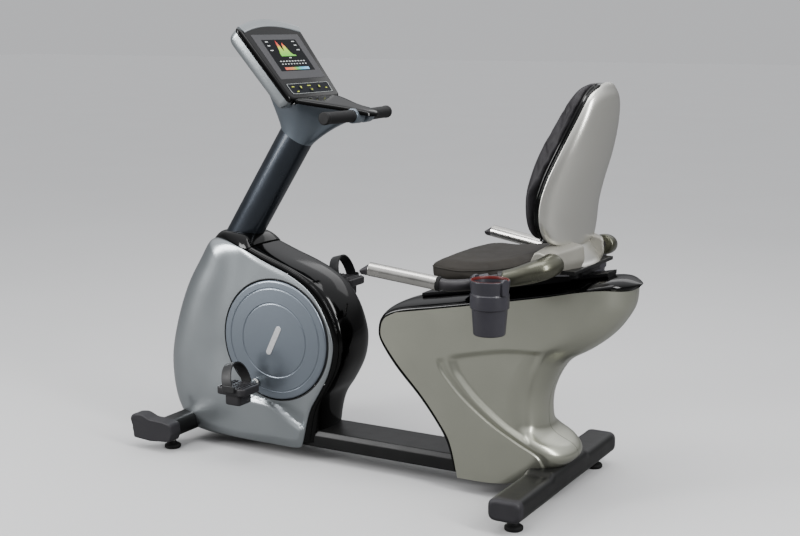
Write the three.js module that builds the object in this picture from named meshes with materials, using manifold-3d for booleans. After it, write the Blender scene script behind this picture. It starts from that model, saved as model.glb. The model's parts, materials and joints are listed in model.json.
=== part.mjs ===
// Recumbent exercise bike. Millimetres, +Z up, +X from the console end to the seat end, +Y the rider's right.
// The origin is on the floor under the middle of the overall box. The rider faces -X.
import * as THREE from 'three';
import { mergeVertices } from 'three/addons/utils/BufferGeometryUtils.js';
import Module from 'manifold-3d';

const wasm = await Module();
wasm.setup();

// ---------------------------------------------------------------- driving dimensions
const GAP = 0.4;                                  // clearance between touching solids
const CRANK = new THREE.Vector2(-312, 364);       // crank centre, X and Z
const CRANK_LENGTH = 152;
const AXLE_RADIUS = 10;
const CRANK_ANGLE = -116;                         // left pedal, degrees from +X towards +Z
const DISC_RADIUS = 180;
const DISC_HOLE = 184;
const PULLEY_RADIUS = 100;
const FLYWHEEL = new THREE.Vector2(-630, 240);
const FLYWHEEL_RADIUS = 70;
const SMALL_PULLEY_RADIUS = 25;
const BELT_Y = [42, 54];
const SHROUD_HALF = 94;                           // front shroud, half width
const SPINE_HALF = 88;
const PEDESTAL_HALF = 108;                        // rear shroud, half width
const WALL = 3.5;
const RAIL_HALF = 75;
const RAIL_BOTTOM = 46;
const RAIL_TOP = 96;
const FRONT_BAR_X = [-686, -616];
const REAR_BAR_X = [508, 600];
const MAST_FOOT = new THREE.Vector2(-556, 548);
const MAST_TOP = new THREE.Vector2(-292, 958);
const MAST_SEMI = [52, 45];                       // mast section, fore-aft and sideways
const SLIDE_ANGLE = 10.9;                         // seat slide, degrees above level
const PANEL_ORIGIN = new THREE.Vector2(-216, 1077);
const PANEL_ANGLE = 51;                           // console face, degrees above level
const SEAT_HALF = 200;

const BOX_MIDDLE = 10.5;                          // middle of the overall box before it is centred

const group = new THREE.Group();
group.position.x = -BOX_MIDDLE;

// ---------------------------------------------------------------- materials
const material = (color, roughness, metalness = 0) =>
  new THREE.MeshStandardMaterial({ color, roughness, metalness });
const silverPaint = material(0x8f9698, 0.35, 0.6);
const champagnePaint = material(0x9a9b90, 0.35, 0.6);
const discPaint = material(0x5d666e, 0.4, 0.3);
const mastPaint = material(0x3f4855, 0.35, 0.5);
const neckPaint = material(0x5c666e, 0.4, 0.4);
const blackGloss = material(0x0c0c0d, 0.15);
const blackSatin = material(0x1d1d1b, 0.5);
const greyPlastic = material(0x3f3e41, 0.5);
const cupPlastic = material(0x3b3a40, 0.45);
const rubber = material(0x141414, 0.8);
const leather = material(0x3a3631, 0.7);
const steel = material(0xb8b8b4, 0.3, 0.9);
const castIron = material(0x55565a, 0.6, 0.8);
const coverPlastic = material(0xb5b2a8, 0.5);
const glass = material(0x101418, 0.1);
const keyPlastic = material(0x2c3326, 0.5);

// ---------------------------------------------------------------- solids
const degrees = (angle) => angle * Math.PI / 180;

// A named mesh in a parent group.
function add(name, geometry, finish, parent = group) {
  const mesh = new THREE.Mesh(geometry, finish);
  mesh.name = name;
  parent.add(mesh);
  return mesh;
}

// A closed geometry from points and triangles, turned outside out if its volume is negative.
function closed(points, triangles) {
  let volume = 0;
  for (const [a, b, c] of triangles) {
    volume += points[a].dot(new THREE.Vector3().crossVectors(points[b], points[c]));
  }
  const index = triangles.flatMap(([a, b, c]) => (volume < 0 ? [a, c, b] : [a, b, c]));
  const geometry = new THREE.BufferGeometry();
  geometry.setAttribute('position', new THREE.Float32BufferAttribute(points.flatMap((p) => p.toArray()), 3));
  geometry.setIndex(index);
  return geometry;
}

// A solid lofted through rings of equal length; its ends are fans, or it closes on itself.
function loft(rings, endless = false) {
  const count = rings[0].length;
  const points = rings.flat();
  const triangles = [];
  const last = endless ? rings.length : rings.length - 1;
  for (let i = 0; i < last; i += 1) {
    const next = (i + 1) % rings.length;
    for (let j = 0; j < count; j += 1) {
      const k = (j + 1) % count;
      const corners = [i * count + j, i * count + k, next * count + k, next * count + j];
      triangles.push([corners[0], corners[1], corners[2]], [corners[0], corners[2], corners[3]]);
    }
  }
  if (!endless) {
    for (const [ring, flip] of [[0, true], [rings.length - 1, false]]) {
      const centre = new THREE.Vector3();
      rings[ring].forEach((p) => centre.addScaledVector(p, 1 / count));
      const middle = points.push(centre) - 1;
      for (let j = 0; j < count; j += 1) {
        const a = ring * count + j;
        const b = ring * count + (j + 1) % count;
        triangles.push(flip ? [b, a, middle] : [a, b, middle]);
      }
    }
  }
  return closed(points, triangles);
}

// A thick skin from an outer and an inner grid of the same size; wrap joins the last row to the first.
function skin(outer, inner, wrap) {
  const rows = outer.length;
  const columns = outer[0].length;
  const points = [...outer.flat(), ...inner.flat()];
  const half = rows * columns;
  const triangles = [];
  const quad = (a, b, c, d) => triangles.push([a, b, c], [a, c, d]);
  const lastRow = wrap ? rows : rows - 1;
  for (let i = 0; i < lastRow; i += 1) {
    const next = (i + 1) % rows;
    for (let j = 0; j < columns - 1; j += 1) {
      const a = i * columns + j;
      const b = next * columns + j;
      quad(a, b, b + 1, a + 1);
      quad(half + a, half + a + 1, half + b + 1, half + b);
    }
    const first = [i * columns, next * columns];
    const final = [first[0] + columns - 1, first[1] + columns - 1];
    quad(first[0], half + first[0], half + first[1], first[1]);
    quad(final[0], final[1], half + final[1], half + final[0]);
  }
  if (!wrap) {
    const start = (rows - 1) * columns;
    for (let j = 0; j < columns - 1; j += 1) {
      quad(j, j + 1, half + j + 1, half + j);
      quad(start + j, half + start + j, half + start + j + 1, start + j + 1);
    }
  }
  return closed(points, triangles);
}

function toManifold(geometry) {
  const bare = geometry.clone();
  bare.deleteAttribute('normal');
  bare.deleteAttribute('uv');
  const merged = mergeVertices(bare, 1e-3);
  return new wasm.Manifold(new wasm.Mesh({
    numProp: 3,
    vertProperties: new Float32Array(merged.attributes.position.array),
    triVerts: new Uint32Array(merged.index.array),
  }));
}

function fromManifold(solid) {
  const mesh = solid.getMesh();
  const geometry = new THREE.BufferGeometry();
  geometry.setAttribute('position', new THREE.BufferAttribute(new Float32Array(mesh.vertProperties), 3));
  geometry.setIndex(new THREE.BufferAttribute(new Uint32Array(mesh.triVerts), 1));
  return geometry;
}

const joined = (first, ...rest) =>
  fromManifold(rest.reduce((sum, other) => sum.add(toManifold(other)), toManifold(first)));
const cut = (first, ...rest) =>
  fromManifold(rest.reduce((sum, other) => sum.subtract(toManifold(other)), toManifold(first)));

// An XZ outline extruded along Y.
function slabY(outline, y0, y1, holes = []) {
  const shape = new THREE.Shape(outline.map(([x, z]) => new THREE.Vector2(x, z)));
  shape.holes = holes.map((hole) => new THREE.Path(hole.map(([x, z]) => new THREE.Vector2(x, z))));
  const geometry = new THREE.ExtrudeGeometry(shape, { depth: y1 - y0, bevelEnabled: false });
  return geometry.rotateX(Math.PI / 2).translate(0, y1, 0);
}

// A YZ outline extruded along X.
function slabX(outline, x0, x1, holes = []) {
  const shape = new THREE.Shape(outline.map(([y, z]) => new THREE.Vector2(y, z)));
  shape.holes = holes.map((hole) => new THREE.Path(hole.map(([y, z]) => new THREE.Vector2(y, z))));
  const geometry = new THREE.ExtrudeGeometry(shape, { depth: x1 - x0, bevelEnabled: false });
  return geometry.rotateY(Math.PI / 2).rotateX(Math.PI / 2).translate(x0, 0, 0);
}

const block = ([x0, x1], [y0, y1], [z0, z1]) =>
  new THREE.BoxGeometry(x1 - x0, y1 - y0, z1 - z0)
    .translate((x0 + x1) / 2, (y0 + y1) / 2, (z0 + z1) / 2);

// A cylinder along Y from y0 to y1.
const rod = (radius, y0, y1, x = 0, z = 0, sides = 24) =>
  new THREE.CylinderGeometry(radius, radius, y1 - y0, sides).translate(x, (y0 + y1) / 2, z);

// A solid of revolution about Y; the profile is [radius, y] pairs that start and end on the axis or close.
// The profile is turned round where it would leave the faces pointing inwards.
function turned(profile, sides = 32) {
  let area = 0;
  profile.forEach(([r, y], i) => {
    const [nextR, nextY] = profile[(i + 1) % profile.length];
    area += r * nextY - nextR * y;
  });
  const outward = area < 0 ? [...profile].reverse() : profile;
  return new THREE.LatheGeometry(outward.map(([r, y]) => new THREE.Vector2(r, y)), sides);
}

// Points of an arc of a circle, in degrees.
function arc(x, z, radius, from, to, steps) {
  return Array.from({ length: steps + 1 }, (_, i) => {
    const angle = degrees(from + (to - from) * i / steps);
    return [x + radius * Math.cos(angle), z + radius * Math.sin(angle)];
  });
}

// A rectangle with rounded corners, as an outline.
function roundedBox(x0, x1, z0, z1, radius, steps = 4) {
  return [
    ...arc(x1 - radius, z1 - radius, radius, 0, 90, steps),
    ...arc(x0 + radius, z1 - radius, radius, 90, 180, steps),
    ...arc(x0 + radius, z0 + radius, radius, 180, 270, steps),
    ...arc(x1 - radius, z0 + radius, radius, 270, 360, steps),
  ];
}

// A superellipse ring about a centre, with its two semi-axes as vectors.
function ovalRing(centre, along, across, power, steps) {
  return Array.from({ length: steps }, (_, i) => {
    const angle = 2 * Math.PI * i / steps;
    const c = Math.cos(angle);
    const s = Math.sin(angle);
    return centre.clone()
      .addScaledVector(along, Math.sign(c) * Math.abs(c) ** (2 / power))
      .addScaledVector(across, Math.sign(s) * Math.abs(s) ** (2 / power));
  });
}

// Evenly spaced points of a smooth curve through [x, z, y] points.
function smooth(points, steps, endless = false) {
  const curve = new THREE.CatmullRomCurve3(
    points.map(([x, z, y = 0]) => new THREE.Vector3(x, y, z)), endless, 'catmullrom', 0.5);
  return Array.from({ length: endless ? steps : steps + 1 }, (_, i) => curve.getPoint(i / steps));
}

const sides = [['left', -1], ['right', 1]];

// ---------------------------------------------------------------- base frame
const railSection = (wall) => [
  [wall - RAIL_HALF, RAIL_BOTTOM + wall], [RAIL_HALF - wall, RAIL_BOTTOM + wall],
  [RAIL_HALF - wall, RAIL_TOP - 14], [RAIL_HALF - 8 - wall, RAIL_TOP - wall],
  [8 + wall - RAIL_HALF, RAIL_TOP - wall], [wall - RAIL_HALF, RAIL_TOP - 14],
];
add('main_rail', slabX(railSection(0), FRONT_BAR_X[1] + GAP, REAR_BAR_X[0] - GAP, [railSection(4)]),
  blackSatin);

// Each stabiliser is an open-ended tube with a drilled seat for its two feet.
function stabiliser(name, [x0, x1], [z0, z1], halfLength, footX, footY) {
  const tube = slabY(roundedBox(x0, x1, z0, z1, 22), -halfLength, halfLength,
    [roundedBox(x0 + 4, x1 - 4, z0 + 4, z1 - 4, 18)]);
  const holes = [-footY, footY].map((y) =>
    new THREE.CylinderGeometry(6.6, 6.6, 20, 16).rotateX(Math.PI / 2).translate(footX, y, z0));
  add(name, cut(tube, ...holes), blackSatin);
}
const FRONT_FOOT = [-651, 168];
const REAR_FOOT = [556, 286];
stabiliser('front_stabiliser', FRONT_BAR_X, [40, 97], 186, ...FRONT_FOOT);
stabiliser('rear_stabiliser', REAR_BAR_X, [38, 98], 325, ...REAR_FOOT);

for (const [side, sign] of sides) {
  const ends = [sign * (325 + GAP), sign * 350].sort((a, b) => a - b);
  add(`rear_end_cap_${side}`, slabY(roundedBox(508, 600, 38, 98, 22), ...ends), greyPlastic);
}

// Front end caps reach forward as forks that hold the transport wheels.
const WHEEL = new THREE.Vector2(-736, 62);
const WHEEL_RADIUS = 27;
const forkOutline = [
  [-612, 38], [-604, 60], [-608, 92], [-640, 99], [-690, 100], [-722, 113], [-758, 108], [-764, 92],
  [-756, 70], [-752, 34], [-690, 30],
];
for (const [side, sign] of sides) {
  const body = slabY(forkOutline, 186 + GAP, 232);
  const slot = joined(block([-772, -702], [193, 225], [20, 62]), rod(32, 193, 225, WHEEL.x, WHEEL.y, 28));
  const bore = rod(5.2, 180, 240, WHEEL.x, WHEEL.y, 16);
  add(`wheel_fork_${side}`, flipped(cut(body, slot, bore), sign), greyPlastic);
  const wheel = turned([
    [0, 187], [4.8, 187], [4.8, 194], [WHEEL_RADIUS - 4, 194], [WHEEL_RADIUS, 198], [WHEEL_RADIUS, 220],
    [WHEEL_RADIUS - 4, 224], [4.8, 224], [4.8, 231], [0, 231],
  ], 20).translate(WHEEL.x, 0, WHEEL.y);
  add(`transport_wheel_${side}`, flipped(wheel, sign), rubber);
}

// The mirror image in Y, with its faces still outward.
function flipped(geometry, sign) {
  if (sign > 0) {
    return geometry;
  }
  const solid = toManifold(geometry).mirror([0, 1, 0]);
  return fromManifold(solid);
}

// Levelling feet: a rubber pad, a moulded cone and a threaded stem.
const footProfile = [
  [0, 0], [22, 0], [25, 3], [25, 10], [22, 13], [12, 17], [10, 24], [6, 26], [6, 60], [0, 60],
];
for (const [end, [x, y]] of [['front', FRONT_FOOT], ['rear', REAR_FOOT]]) {
  for (const [side, sign] of sides) {
    const foot = add(`levelling_foot_${end}_${side}`, turned(footProfile, 12).rotateX(Math.PI / 2), rubber);
    foot.position.set(x, sign * y, 0);
  }
}

// ---------------------------------------------------------------- drive frame
const mastAxis = MAST_TOP.clone().sub(MAST_FOOT).normalize();
const uprightOutline = [
  [-500, 100], [-440, 100], [-529, 536], [-435, 681], [-485, 713], [-573, 576], [-585, 545],
];
const forkPlate = [
  [-612, 100], [-520, 100], [-596, 248], ...arc(FLYWHEEL.x, FLYWHEEL.y, 20, 20, 200, 8),
];
const driveFrame = cut(
  joined(
    block([-612, -270], [-60, 60], [RAIL_TOP + GAP, 104]),
    slabY(uprightOutline, -6, 6),
    block([-336, -288], [-8, 8], [100, 350]),
    rod(30, -35, 35, CRANK.x, CRANK.y, 28),
    slabY(forkPlate, 30, 36),
    slabY(forkPlate, -36, -30),
  ),
  rod(20.2, -40, 40, CRANK.x, CRANK.y, 24),
  rod(8.4, -50, 50, FLYWHEEL.x, FLYWHEEL.y, 20),
);
add('drive_frame', driveFrame, blackSatin);

const tubeProfile = (inner, outer, y0, y1) =>
  [[inner, y0], [outer, y0], [outer, y1], [inner, y1], [inner, y0]];
add('bearing_cartridge', turned(tubeProfile(AXLE_RADIUS + GAP, 19.8, -34, 34), 24), steel)
  .position.set(CRANK.x, 0, CRANK.y);

// The outline of a belt run round two circles.
function beltOutline(extra) {
  const [near, far] = [PULLEY_RADIUS + extra, SMALL_PULLEY_RADIUS + extra];
  const span = FLYWHEEL.clone().sub(CRANK);
  const heading = Math.atan2(span.y, span.x) * 180 / Math.PI;
  const lean = Math.acos((near - far) / span.length()) * 180 / Math.PI;
  return [
    ...arc(CRANK.x, CRANK.y, near, heading + lean, heading + 360 - lean, 28),
    ...arc(FLYWHEEL.x, FLYWHEEL.y, far, heading - lean, heading + lean, 10),
  ];
}
add('drive_belt', slabY(beltOutline(3.4), ...BELT_Y, [beltOutline(GAP)]), rubber);

add('flywheel', turned([
  [0, -44], [8, -44], [8, -27], [18, -27], [18, -10], [48, -10], [48, -18], [FLYWHEEL_RADIUS, -18],
  [FLYWHEEL_RADIUS, 18], [48, 18], [48, 10], [18, 10], [18, 27], [8, 27], [8, 40], [SMALL_PULLEY_RADIUS, 41],
  [SMALL_PULLEY_RADIUS, 55], [8, 56], [8, 60], [0, 60],
], 20), castIron).position.set(FLYWHEEL.x, 0, FLYWHEEL.y);

// The brake straddles the top of the flywheel's rim and is held by an arm from the upright.
const brakeYoke = slabX([[-28, 284], [-28, 328], [28, 328], [28, 284], [21, 284], [21, 316], [-21, 316],
  [-21, 284]], -652, -608);
const brakeArm = block([-620, -548], [-10, 10], [317, 327]);
add('brake_magnet', joined(brakeYoke, brakeArm), castIron);

// ---------------------------------------------------------------- cranks, discs and pedals
add('crank_axle', turned([[0, -86], [AXLE_RADIUS, -86], [AXLE_RADIUS, 86], [0, 86]], 24), steel)
  .position.set(CRANK.x, 0, CRANK.y);
add('drive_pulley', turned([
  [10.3, 40], [22, 40], [22, 46], [86, 46], [86, 41], [PULLEY_RADIUS, 41], [PULLEY_RADIUS, 55],
  [86, 55], [86, 50], [22, 50], [22, 62], [10.3, 62], [10.3, 40],
], 24), castIron).position.set(CRANK.x, 0, CRANK.y);

const armOutline = [...arc(0, 0, 22, 90, 270, 12), ...arc(CRANK_LENGTH, 0, 16, -90, 90, 12)];
const pedalOutline = [
  [-50, 3], [-44, 14], [44, 14], [50, 3], [44, -9], [28, -12], [22, -42], [-22, -42], [-28, -12], [-44, -9],
];
const PEDAL_Y = [148, 238];
const discProfile = [
  [0, 88], [DISC_RADIUS - 3, 88], [DISC_RADIUS, 91], [DISC_RADIUS, 97], [DISC_RADIUS - 4, 99.5], [0, 104],
];
const STRAP_LEAN = -16;
for (const [side, sign] of sides) {
  const turn = new THREE.Group();
  turn.position.set(CRANK.x, 0, CRANK.y);
  turn.rotation.y = -degrees(sign < 0 ? CRANK_ANGLE : CRANK_ANGLE + 180);
  group.add(turn);
  const arm = joined(
    cut(slabY(armOutline, 72, 86), rod(10.3, 60, 100)),
    rod(7, 75, 236, CRANK_LENGTH, 0, 20),
  );
  add(`crank_arm_${side}`, flipped(arm, sign), steel, turn);
  const disc = cut(turned(discProfile, 40), rod(7.6, 80, 110, CRANK_LENGTH, 0, 20));
  add(`crank_disc_${side}`, flipped(disc, sign), discPaint, turn);

  const pedal = new THREE.Group();
  const angle = degrees(sign < 0 ? CRANK_ANGLE : CRANK_ANGLE + 180);
  pedal.position.set(CRANK.x + CRANK_LENGTH * Math.cos(angle), 0, CRANK.y + CRANK_LENGTH * Math.sin(angle));
  group.add(pedal);
  add(`pedal_${side}`, flipped(cut(slabY(pedalOutline, ...PEDAL_Y), rod(7.4, 100, 260, 0, 0, 20)), sign),
    greyPlastic, pedal);
  const middle = (PEDAL_Y[0] + PEDAL_Y[1]) / 2;
  const strap = (half, drop) => [
    [middle - half, 9], ...arc(0, 0, 1, 180, 0, 16).map(([y, z]) => [middle + half * y, 16 + drop * z]),
    [middle + half, 9],
  ];
  const band = slabX([...strap(49, 66), ...strap(45.5, 62.5).reverse()], -17, 17);
  add(`pedal_strap_${side}`, flipped(band, sign), rubber, pedal).rotation.y = degrees(STRAP_LEAN);
}

// ---------------------------------------------------------------- front shroud
// The silver halves run from the ring round the disc out to this edge: [x, z, distance from the middle].
const shroudEdge = [
  [-415, 622, 86], [-347, 594, 88], [-269, 566, 88], [-208, 532, 88], [-168, 493, 88], [-138, 443, 88],
  [-119, 393, 88], [-114, 350, 88], [-130, 282, 88], [-162, 220, 88], [-193, 167, 88], [-209, 114, 88],
  [-222, 60, 88], [-240, 40, 88], [-330, 38, 88], [-473, 36, 80], [-590, 36, 60], [-660, 44, 28],
  [-706, 85, 3], [-730, 139, 1], [-741, 214, 1], [-738, 290, 1], [-712, 397, 1], [-670, 504, 1],
  [-618, 590, 1], [-590, 632, 4], [-562, 645, 30], [-505, 645, 62], [-455, 634, 80],
];
function shroudSide(inset) {
  return smooth(shroudEdge, 44, true).map((edge) => {
    const out = new THREE.Vector2(edge.x, edge.z).sub(CRANK);
    const reach = out.length() - inset;
    out.normalize();
    const lip = Math.max(edge.y, 0.6);
    const round = 12 + (90 - lip) * 1.15;
    return [0, 0.5, 0.78, 0.92, 1].map((step) => {
      const far = DISC_HOLE + (reach - DISC_HOLE) * step;
      const close = Math.max(0, 1 - (reach - far) / round);
      const crown = (1 - close ** 2.6) ** (1 / 2.6);
      const half = lip - (inset && lip > 20 ? inset : 0);
      const y = half + (SHROUD_HALF - inset - half) * crown;
      return new THREE.Vector3(CRANK.x + out.x * far, y, CRANK.y + out.y * far);
    });
  });
}
const shroudPassage = joined(
  block([FRONT_BAR_X[0] - 2, FRONT_BAR_X[1] + 2], [-240, 240], [20, 100]),
  block([FRONT_BAR_X[1], 0], [-RAIL_HALF - 2, RAIL_HALF + 2], [20, 99]),
);
const shroudSkin = cut(skin(shroudSide(0), shroudSide(WALL), true), shroudPassage);
for (const [side, sign] of sides) {
  add(`front_shroud_${side}`, flipped(shroudSkin, sign), silverPaint);
}

// The black spine closes the shroud between the silver halves; both edges are [x, z].
const spineEdge = [
  [-413, 624], [-346, 596], [-268, 568], [-206, 534], [-166, 494], [-136, 444], [-117, 394], [-112, 350],
  [-128, 281], [-160, 219], [-191, 166], [-207, 114], [-220, 60],
];
const spineCrest = [
  [-400, 640], [-335, 618], [-262, 594], [-195, 567], [-148, 536], [-110, 487], [-88, 434], [-76, 375],
  [-84, 312], [-118, 245], [-148, 203], [-164, 155], [-176, 60],
];
function bridge(edge, crest, half, inset, steps, rows, taper = () => 1) {
  const edgePoints = smooth(edge, rows);
  const crestPoints = smooth(crest, rows);
  return edgePoints.map((low, i) => {
    const high = crestPoints[i];
    const width = (half - inset) * taper(i / rows);
    const rise = high.clone().sub(low);
    rise.setLength(Math.max(rise.length() - inset, 1));
    return Array.from({ length: steps + 1 }, (_, j) => {
      const across = 2 * j / steps - 1;
      const spread = Math.sign(across) * Math.abs(across) ** 0.7;
      const lift = (1 - Math.abs(spread) ** 2.4) ** (1 / 2.4);
      return low.clone().addScaledVector(rise, lift).setY(width * spread);
    });
  });
}
add('front_shroud_spine', cut(
  skin(
    bridge(spineEdge, spineCrest, SPINE_HALF, 0, 6, 22),
    bridge(spineEdge, spineCrest, SPINE_HALF, WALL, 6, 22),
  ),
  block([-300, 0], [-RAIL_HALF - 2, RAIL_HALF + 2], [20, 99])), blackGloss);

// A direct-current socket under the front of the shroud, beside the stabiliser.
add('dc_inlet', block([-608, -588], [-40, -20], [24, 35]), blackSatin);

// ---------------------------------------------------------------- mast and collar
const mastLength = MAST_TOP.distanceTo(MAST_FOOT);
const mastLean = Math.atan2(mastAxis.x, mastAxis.y);
const oval = (a, b, steps = 32) => Array.from({ length: steps }, (_, i) => {
  const angle = 2 * Math.PI * i / steps;
  return new THREE.Vector2(a * Math.cos(angle), b * Math.sin(angle));
});
const mastShape = new THREE.Shape(oval(...MAST_SEMI));
mastShape.holes.push(new THREE.Path(oval(MAST_SEMI[0] - 4, MAST_SEMI[1] - 4)));
const mast = add('mast', new THREE.ExtrudeGeometry(mastShape, { depth: mastLength, bevelEnabled: false }),
  mastPaint);
mast.position.set(MAST_FOOT.x, 0, MAST_FOOT.y);
mast.rotation.y = mastLean;

function collarRing(z, a, b) {
  const x = MAST_FOOT.x + (z - MAST_FOOT.y) * mastAxis.x / mastAxis.y;
  return ovalRing(new THREE.Vector3(x, 0, z), new THREE.Vector3(a, 0, 0), new THREE.Vector3(0, b, 0), 2, 24);
}
add('mast_collar', loft([
  collarRing(648, 92, 72), collarRing(656, 88, 68), collarRing(672, 68, 52), collarRing(672, 64.5, 47),
  collarRing(648, 64.5, 47),
], true), blackGloss);

// ---------------------------------------------------------------- console
// Panel coordinates: along the face upwards, across, and out of the face.
const panelUp = new THREE.Vector2(-Math.cos(degrees(PANEL_ANGLE)), Math.sin(degrees(PANEL_ANGLE)));
const panelOut = new THREE.Vector2(Math.sin(degrees(PANEL_ANGLE)), Math.cos(degrees(PANEL_ANGLE)));
const onPanel = (up, across, out) => new THREE.Vector3(
  PANEL_ORIGIN.x + panelUp.x * up + panelOut.x * out, across,
  PANEL_ORIGIN.y + panelUp.y * up + panelOut.y * out);

const PANEL_TOP = 264;
function panelRing(inset, out, arch = 24) {
  const foot = 134 - inset;
  const head = 166 - inset;
  const corner = 14;
  const top = Array.from({ length: 13 }, (_, i) => {
    const across = 1 - i / 6;
    const up = PANEL_TOP - inset + arch * (1 - across * across);
    return onPanel(up, (head - corner * across ** 8) * across, out);
  });
  const left = onPanel(PANEL_TOP * 0.5, -(foot + head) / 2, out);
  const right = onPanel(PANEL_TOP * 0.5, (foot + head) / 2, out);
  return [...top, left, onPanel(inset + corner, -foot, out), onPanel(inset, corner - foot, out),
    onPanel(inset, foot - corner, out), onPanel(inset + corner, foot, out), right];
}
const boxOnPanel = ([u0, u1], half, [n0, n1], shift = 0) => loft([n0, n1].map((n) => [
  onPanel(u0, shift - half, n), onPanel(u1, shift - half, n), onPanel(u1, shift + half, n),
  onPanel(u0, shift + half, n),
]));
const KEYS = [['down', -48, 40, 7], ['up', 48, 40, 7], ['start', 0, 30, 9]];
function keyPin(across, up, radius, n0, n1) {
  return loft([n0, n1].map((n) => ovalRing(onPanel(up, across, n),
    new THREE.Vector3(panelUp.x, 0, panelUp.y).multiplyScalar(radius),
    new THREE.Vector3(0, radius, 0), 2, 20)));
}
const bezel = cut(
  loft([panelRing(2, -18), panelRing(0, -12), panelRing(4, -3), panelRing(14, 0)]),
  boxOnPanel([71, 233], 121, [-30, 10]),
  ...KEYS.map(([, across, up, radius]) => keyPin(across, up, radius + 0.4, -30, 10)),
);
add('console_bezel', bezel, blackGloss);
add('display', boxOnPanel([71.5, 232.5], 120.5, [-14, -3]), glass);
for (const [name, across, up, radius] of KEYS) {
  add(`key_${name}`, keyPin(across, up, radius, -8, 2.5), keyPlastic);
}
const consoleBack = cut(
  loft([panelRing(3, -18 - GAP), panelRing(6, -36), panelRing(26, -58, 18)]),
  loft([panelRing(7, -17), panelRing(10, -34), panelRing(29, -54, 18)]),
);
add('console_back', consoleBack, silverPaint);

// The neck widens from the mast to the console and carries the handlebar on a beak.
const neckSlices = [
  [-339, 989, -227, 939, 46], [-334, 1018, -192, 955, 54], [-336, 1048, -145, 984, 66],
  [-350, 1080, -100, 1006, 78], [-368, 1104, -62, 1020, 66], [-380, 1125, -55, 1045, 60],
];
const neckLoft = loft(neckSlices.map(([x0, z0, x1, z1, half]) => ovalRing(
  new THREE.Vector3((x0 + x1) / 2, 0, (z0 + z1) / 2),
  new THREE.Vector3((x1 - x0) / 2, 0, (z1 - z0) / 2),
  new THREE.Vector3(0, half, 0), 2.3, 24)).map((ring) => ring.map((p) =>
  p.addScaledVector(new THREE.Vector3(mastAxis.x, 0, mastAxis.y), GAP * 2))));
const consoleEnvelope = loft(
  [panelRing(-1, 60), panelRing(-1, -18), panelRing(2, -36.5), panelRing(22, -58 - GAP, 18)]);
const aboveBeak = block([-224, 20], [-200, 200], [1052, 1200]);
const BAR = [[-70, 30], [-83, 166]];
function alongBar(profile) {
  const [[x0, y0], [x1, y1]] = BAR;
  return turned(profile, 24).rotateZ(Math.atan2(x0 - x1, y1 - y0))
    .translate(x0 + (x0 - x1) * y0 / (y1 - y0), 0, 1032);
}
const barHalf = alongBar([[0, 5], [13, 5], [13, 165], [0, 165]]);
add('console_neck', joined(cut(neckLoft, consoleEnvelope, aboveBeak), barHalf, flipped(barHalf, -1)), neckPaint);
const grip = alongBar([[0, 177], [14, 177], [17.5, 173], [17.5, 45], [13.4, 45], [13.4, 170], [0, 170]]);
for (const [side, sign] of sides) {
  add(`handlebar_grip_${side}`, flipped(grip, sign), rubber);
}

// ---------------------------------------------------------------- rear pedestal
const slope = Math.tan(degrees(SLIDE_ANGLE));
const coverTop = (x) => 543 + (x - 225) * slope;
const frontEdge = [
  [303, 44], [279, 139], [245, 196], [189, 266], [114, 344], [67, 405], [57, 436], [68, 472], [105, 494],
];
const topEdge = [
  [105, 494], [225, 516], [336, 537], [462, 562], [555, 581], [650, 603], [715, 612], [768, 606],
];
const rearEdge = [
  [512, 60], [560, 84], [604, 112], [618, 136], [600, 160], [560, 178], [537, 196], [530, 222],
  [529, 256], [534, 292], [550, 336], [575, 378], [602, 403], [650, 431], [697, 467], [732, 505],
  [762, 556], [768, 606],
];
const footEdge = [[303, 44], [400, 46], [512, 60]];
function pedestalSide(inset) {
  const rows = 26;
  const columns = [0, 0.25, 0.5, 0.66, 0.78, 0.88, 0.95, 1];
  const front = smooth(frontEdge, rows);
  const rear = smooth(rearEdge, rows);
  const top = (u) => smooth(topEdge, 40)[Math.round(u * 40)];
  const foot = (u) => smooth(footEdge, 40)[Math.round(u * 40)];
  return front.map((f, i) => {
    const v = i / rows;
    return columns.map((u) => {
      const r = rear[i];
      const ruled = f.clone().lerp(r, u);
      const base = front[0].clone().lerp(rear[0], u);
      const head = front[rows].clone().lerp(rear[rows], u);
      ruled.addScaledVector(foot(u).clone().sub(base), 1 - v).addScaledVector(top(u).clone().sub(head), v);
      const depth = ruled.distanceTo(r);
      const close = Math.max(0, 1 - depth / 95);
      const crown = (1 - close ** 2.2) ** (1 / 2.2);
      const y = 0.8 + (PEDESTAL_HALF - inset) * crown;
      ruled.x -= inset * close;
      return ruled.setY(y);
    });
  });
}
const pedestalSkin = cut(
  skin(pedestalSide(0), pedestalSide(WALL), false),
  block([200, REAR_BAR_X[0]], [-RAIL_HALF - 2, RAIL_HALF + 2], [20, 99]),
  block([REAR_BAR_X[0] - 3, REAR_BAR_X[1] + 40], [-300, 300], [20, 101]),
);
for (const [side, sign] of sides) {
  add(`rear_shroud_${side}`, flipped(pedestalSkin, sign), champagnePaint);
}

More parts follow.
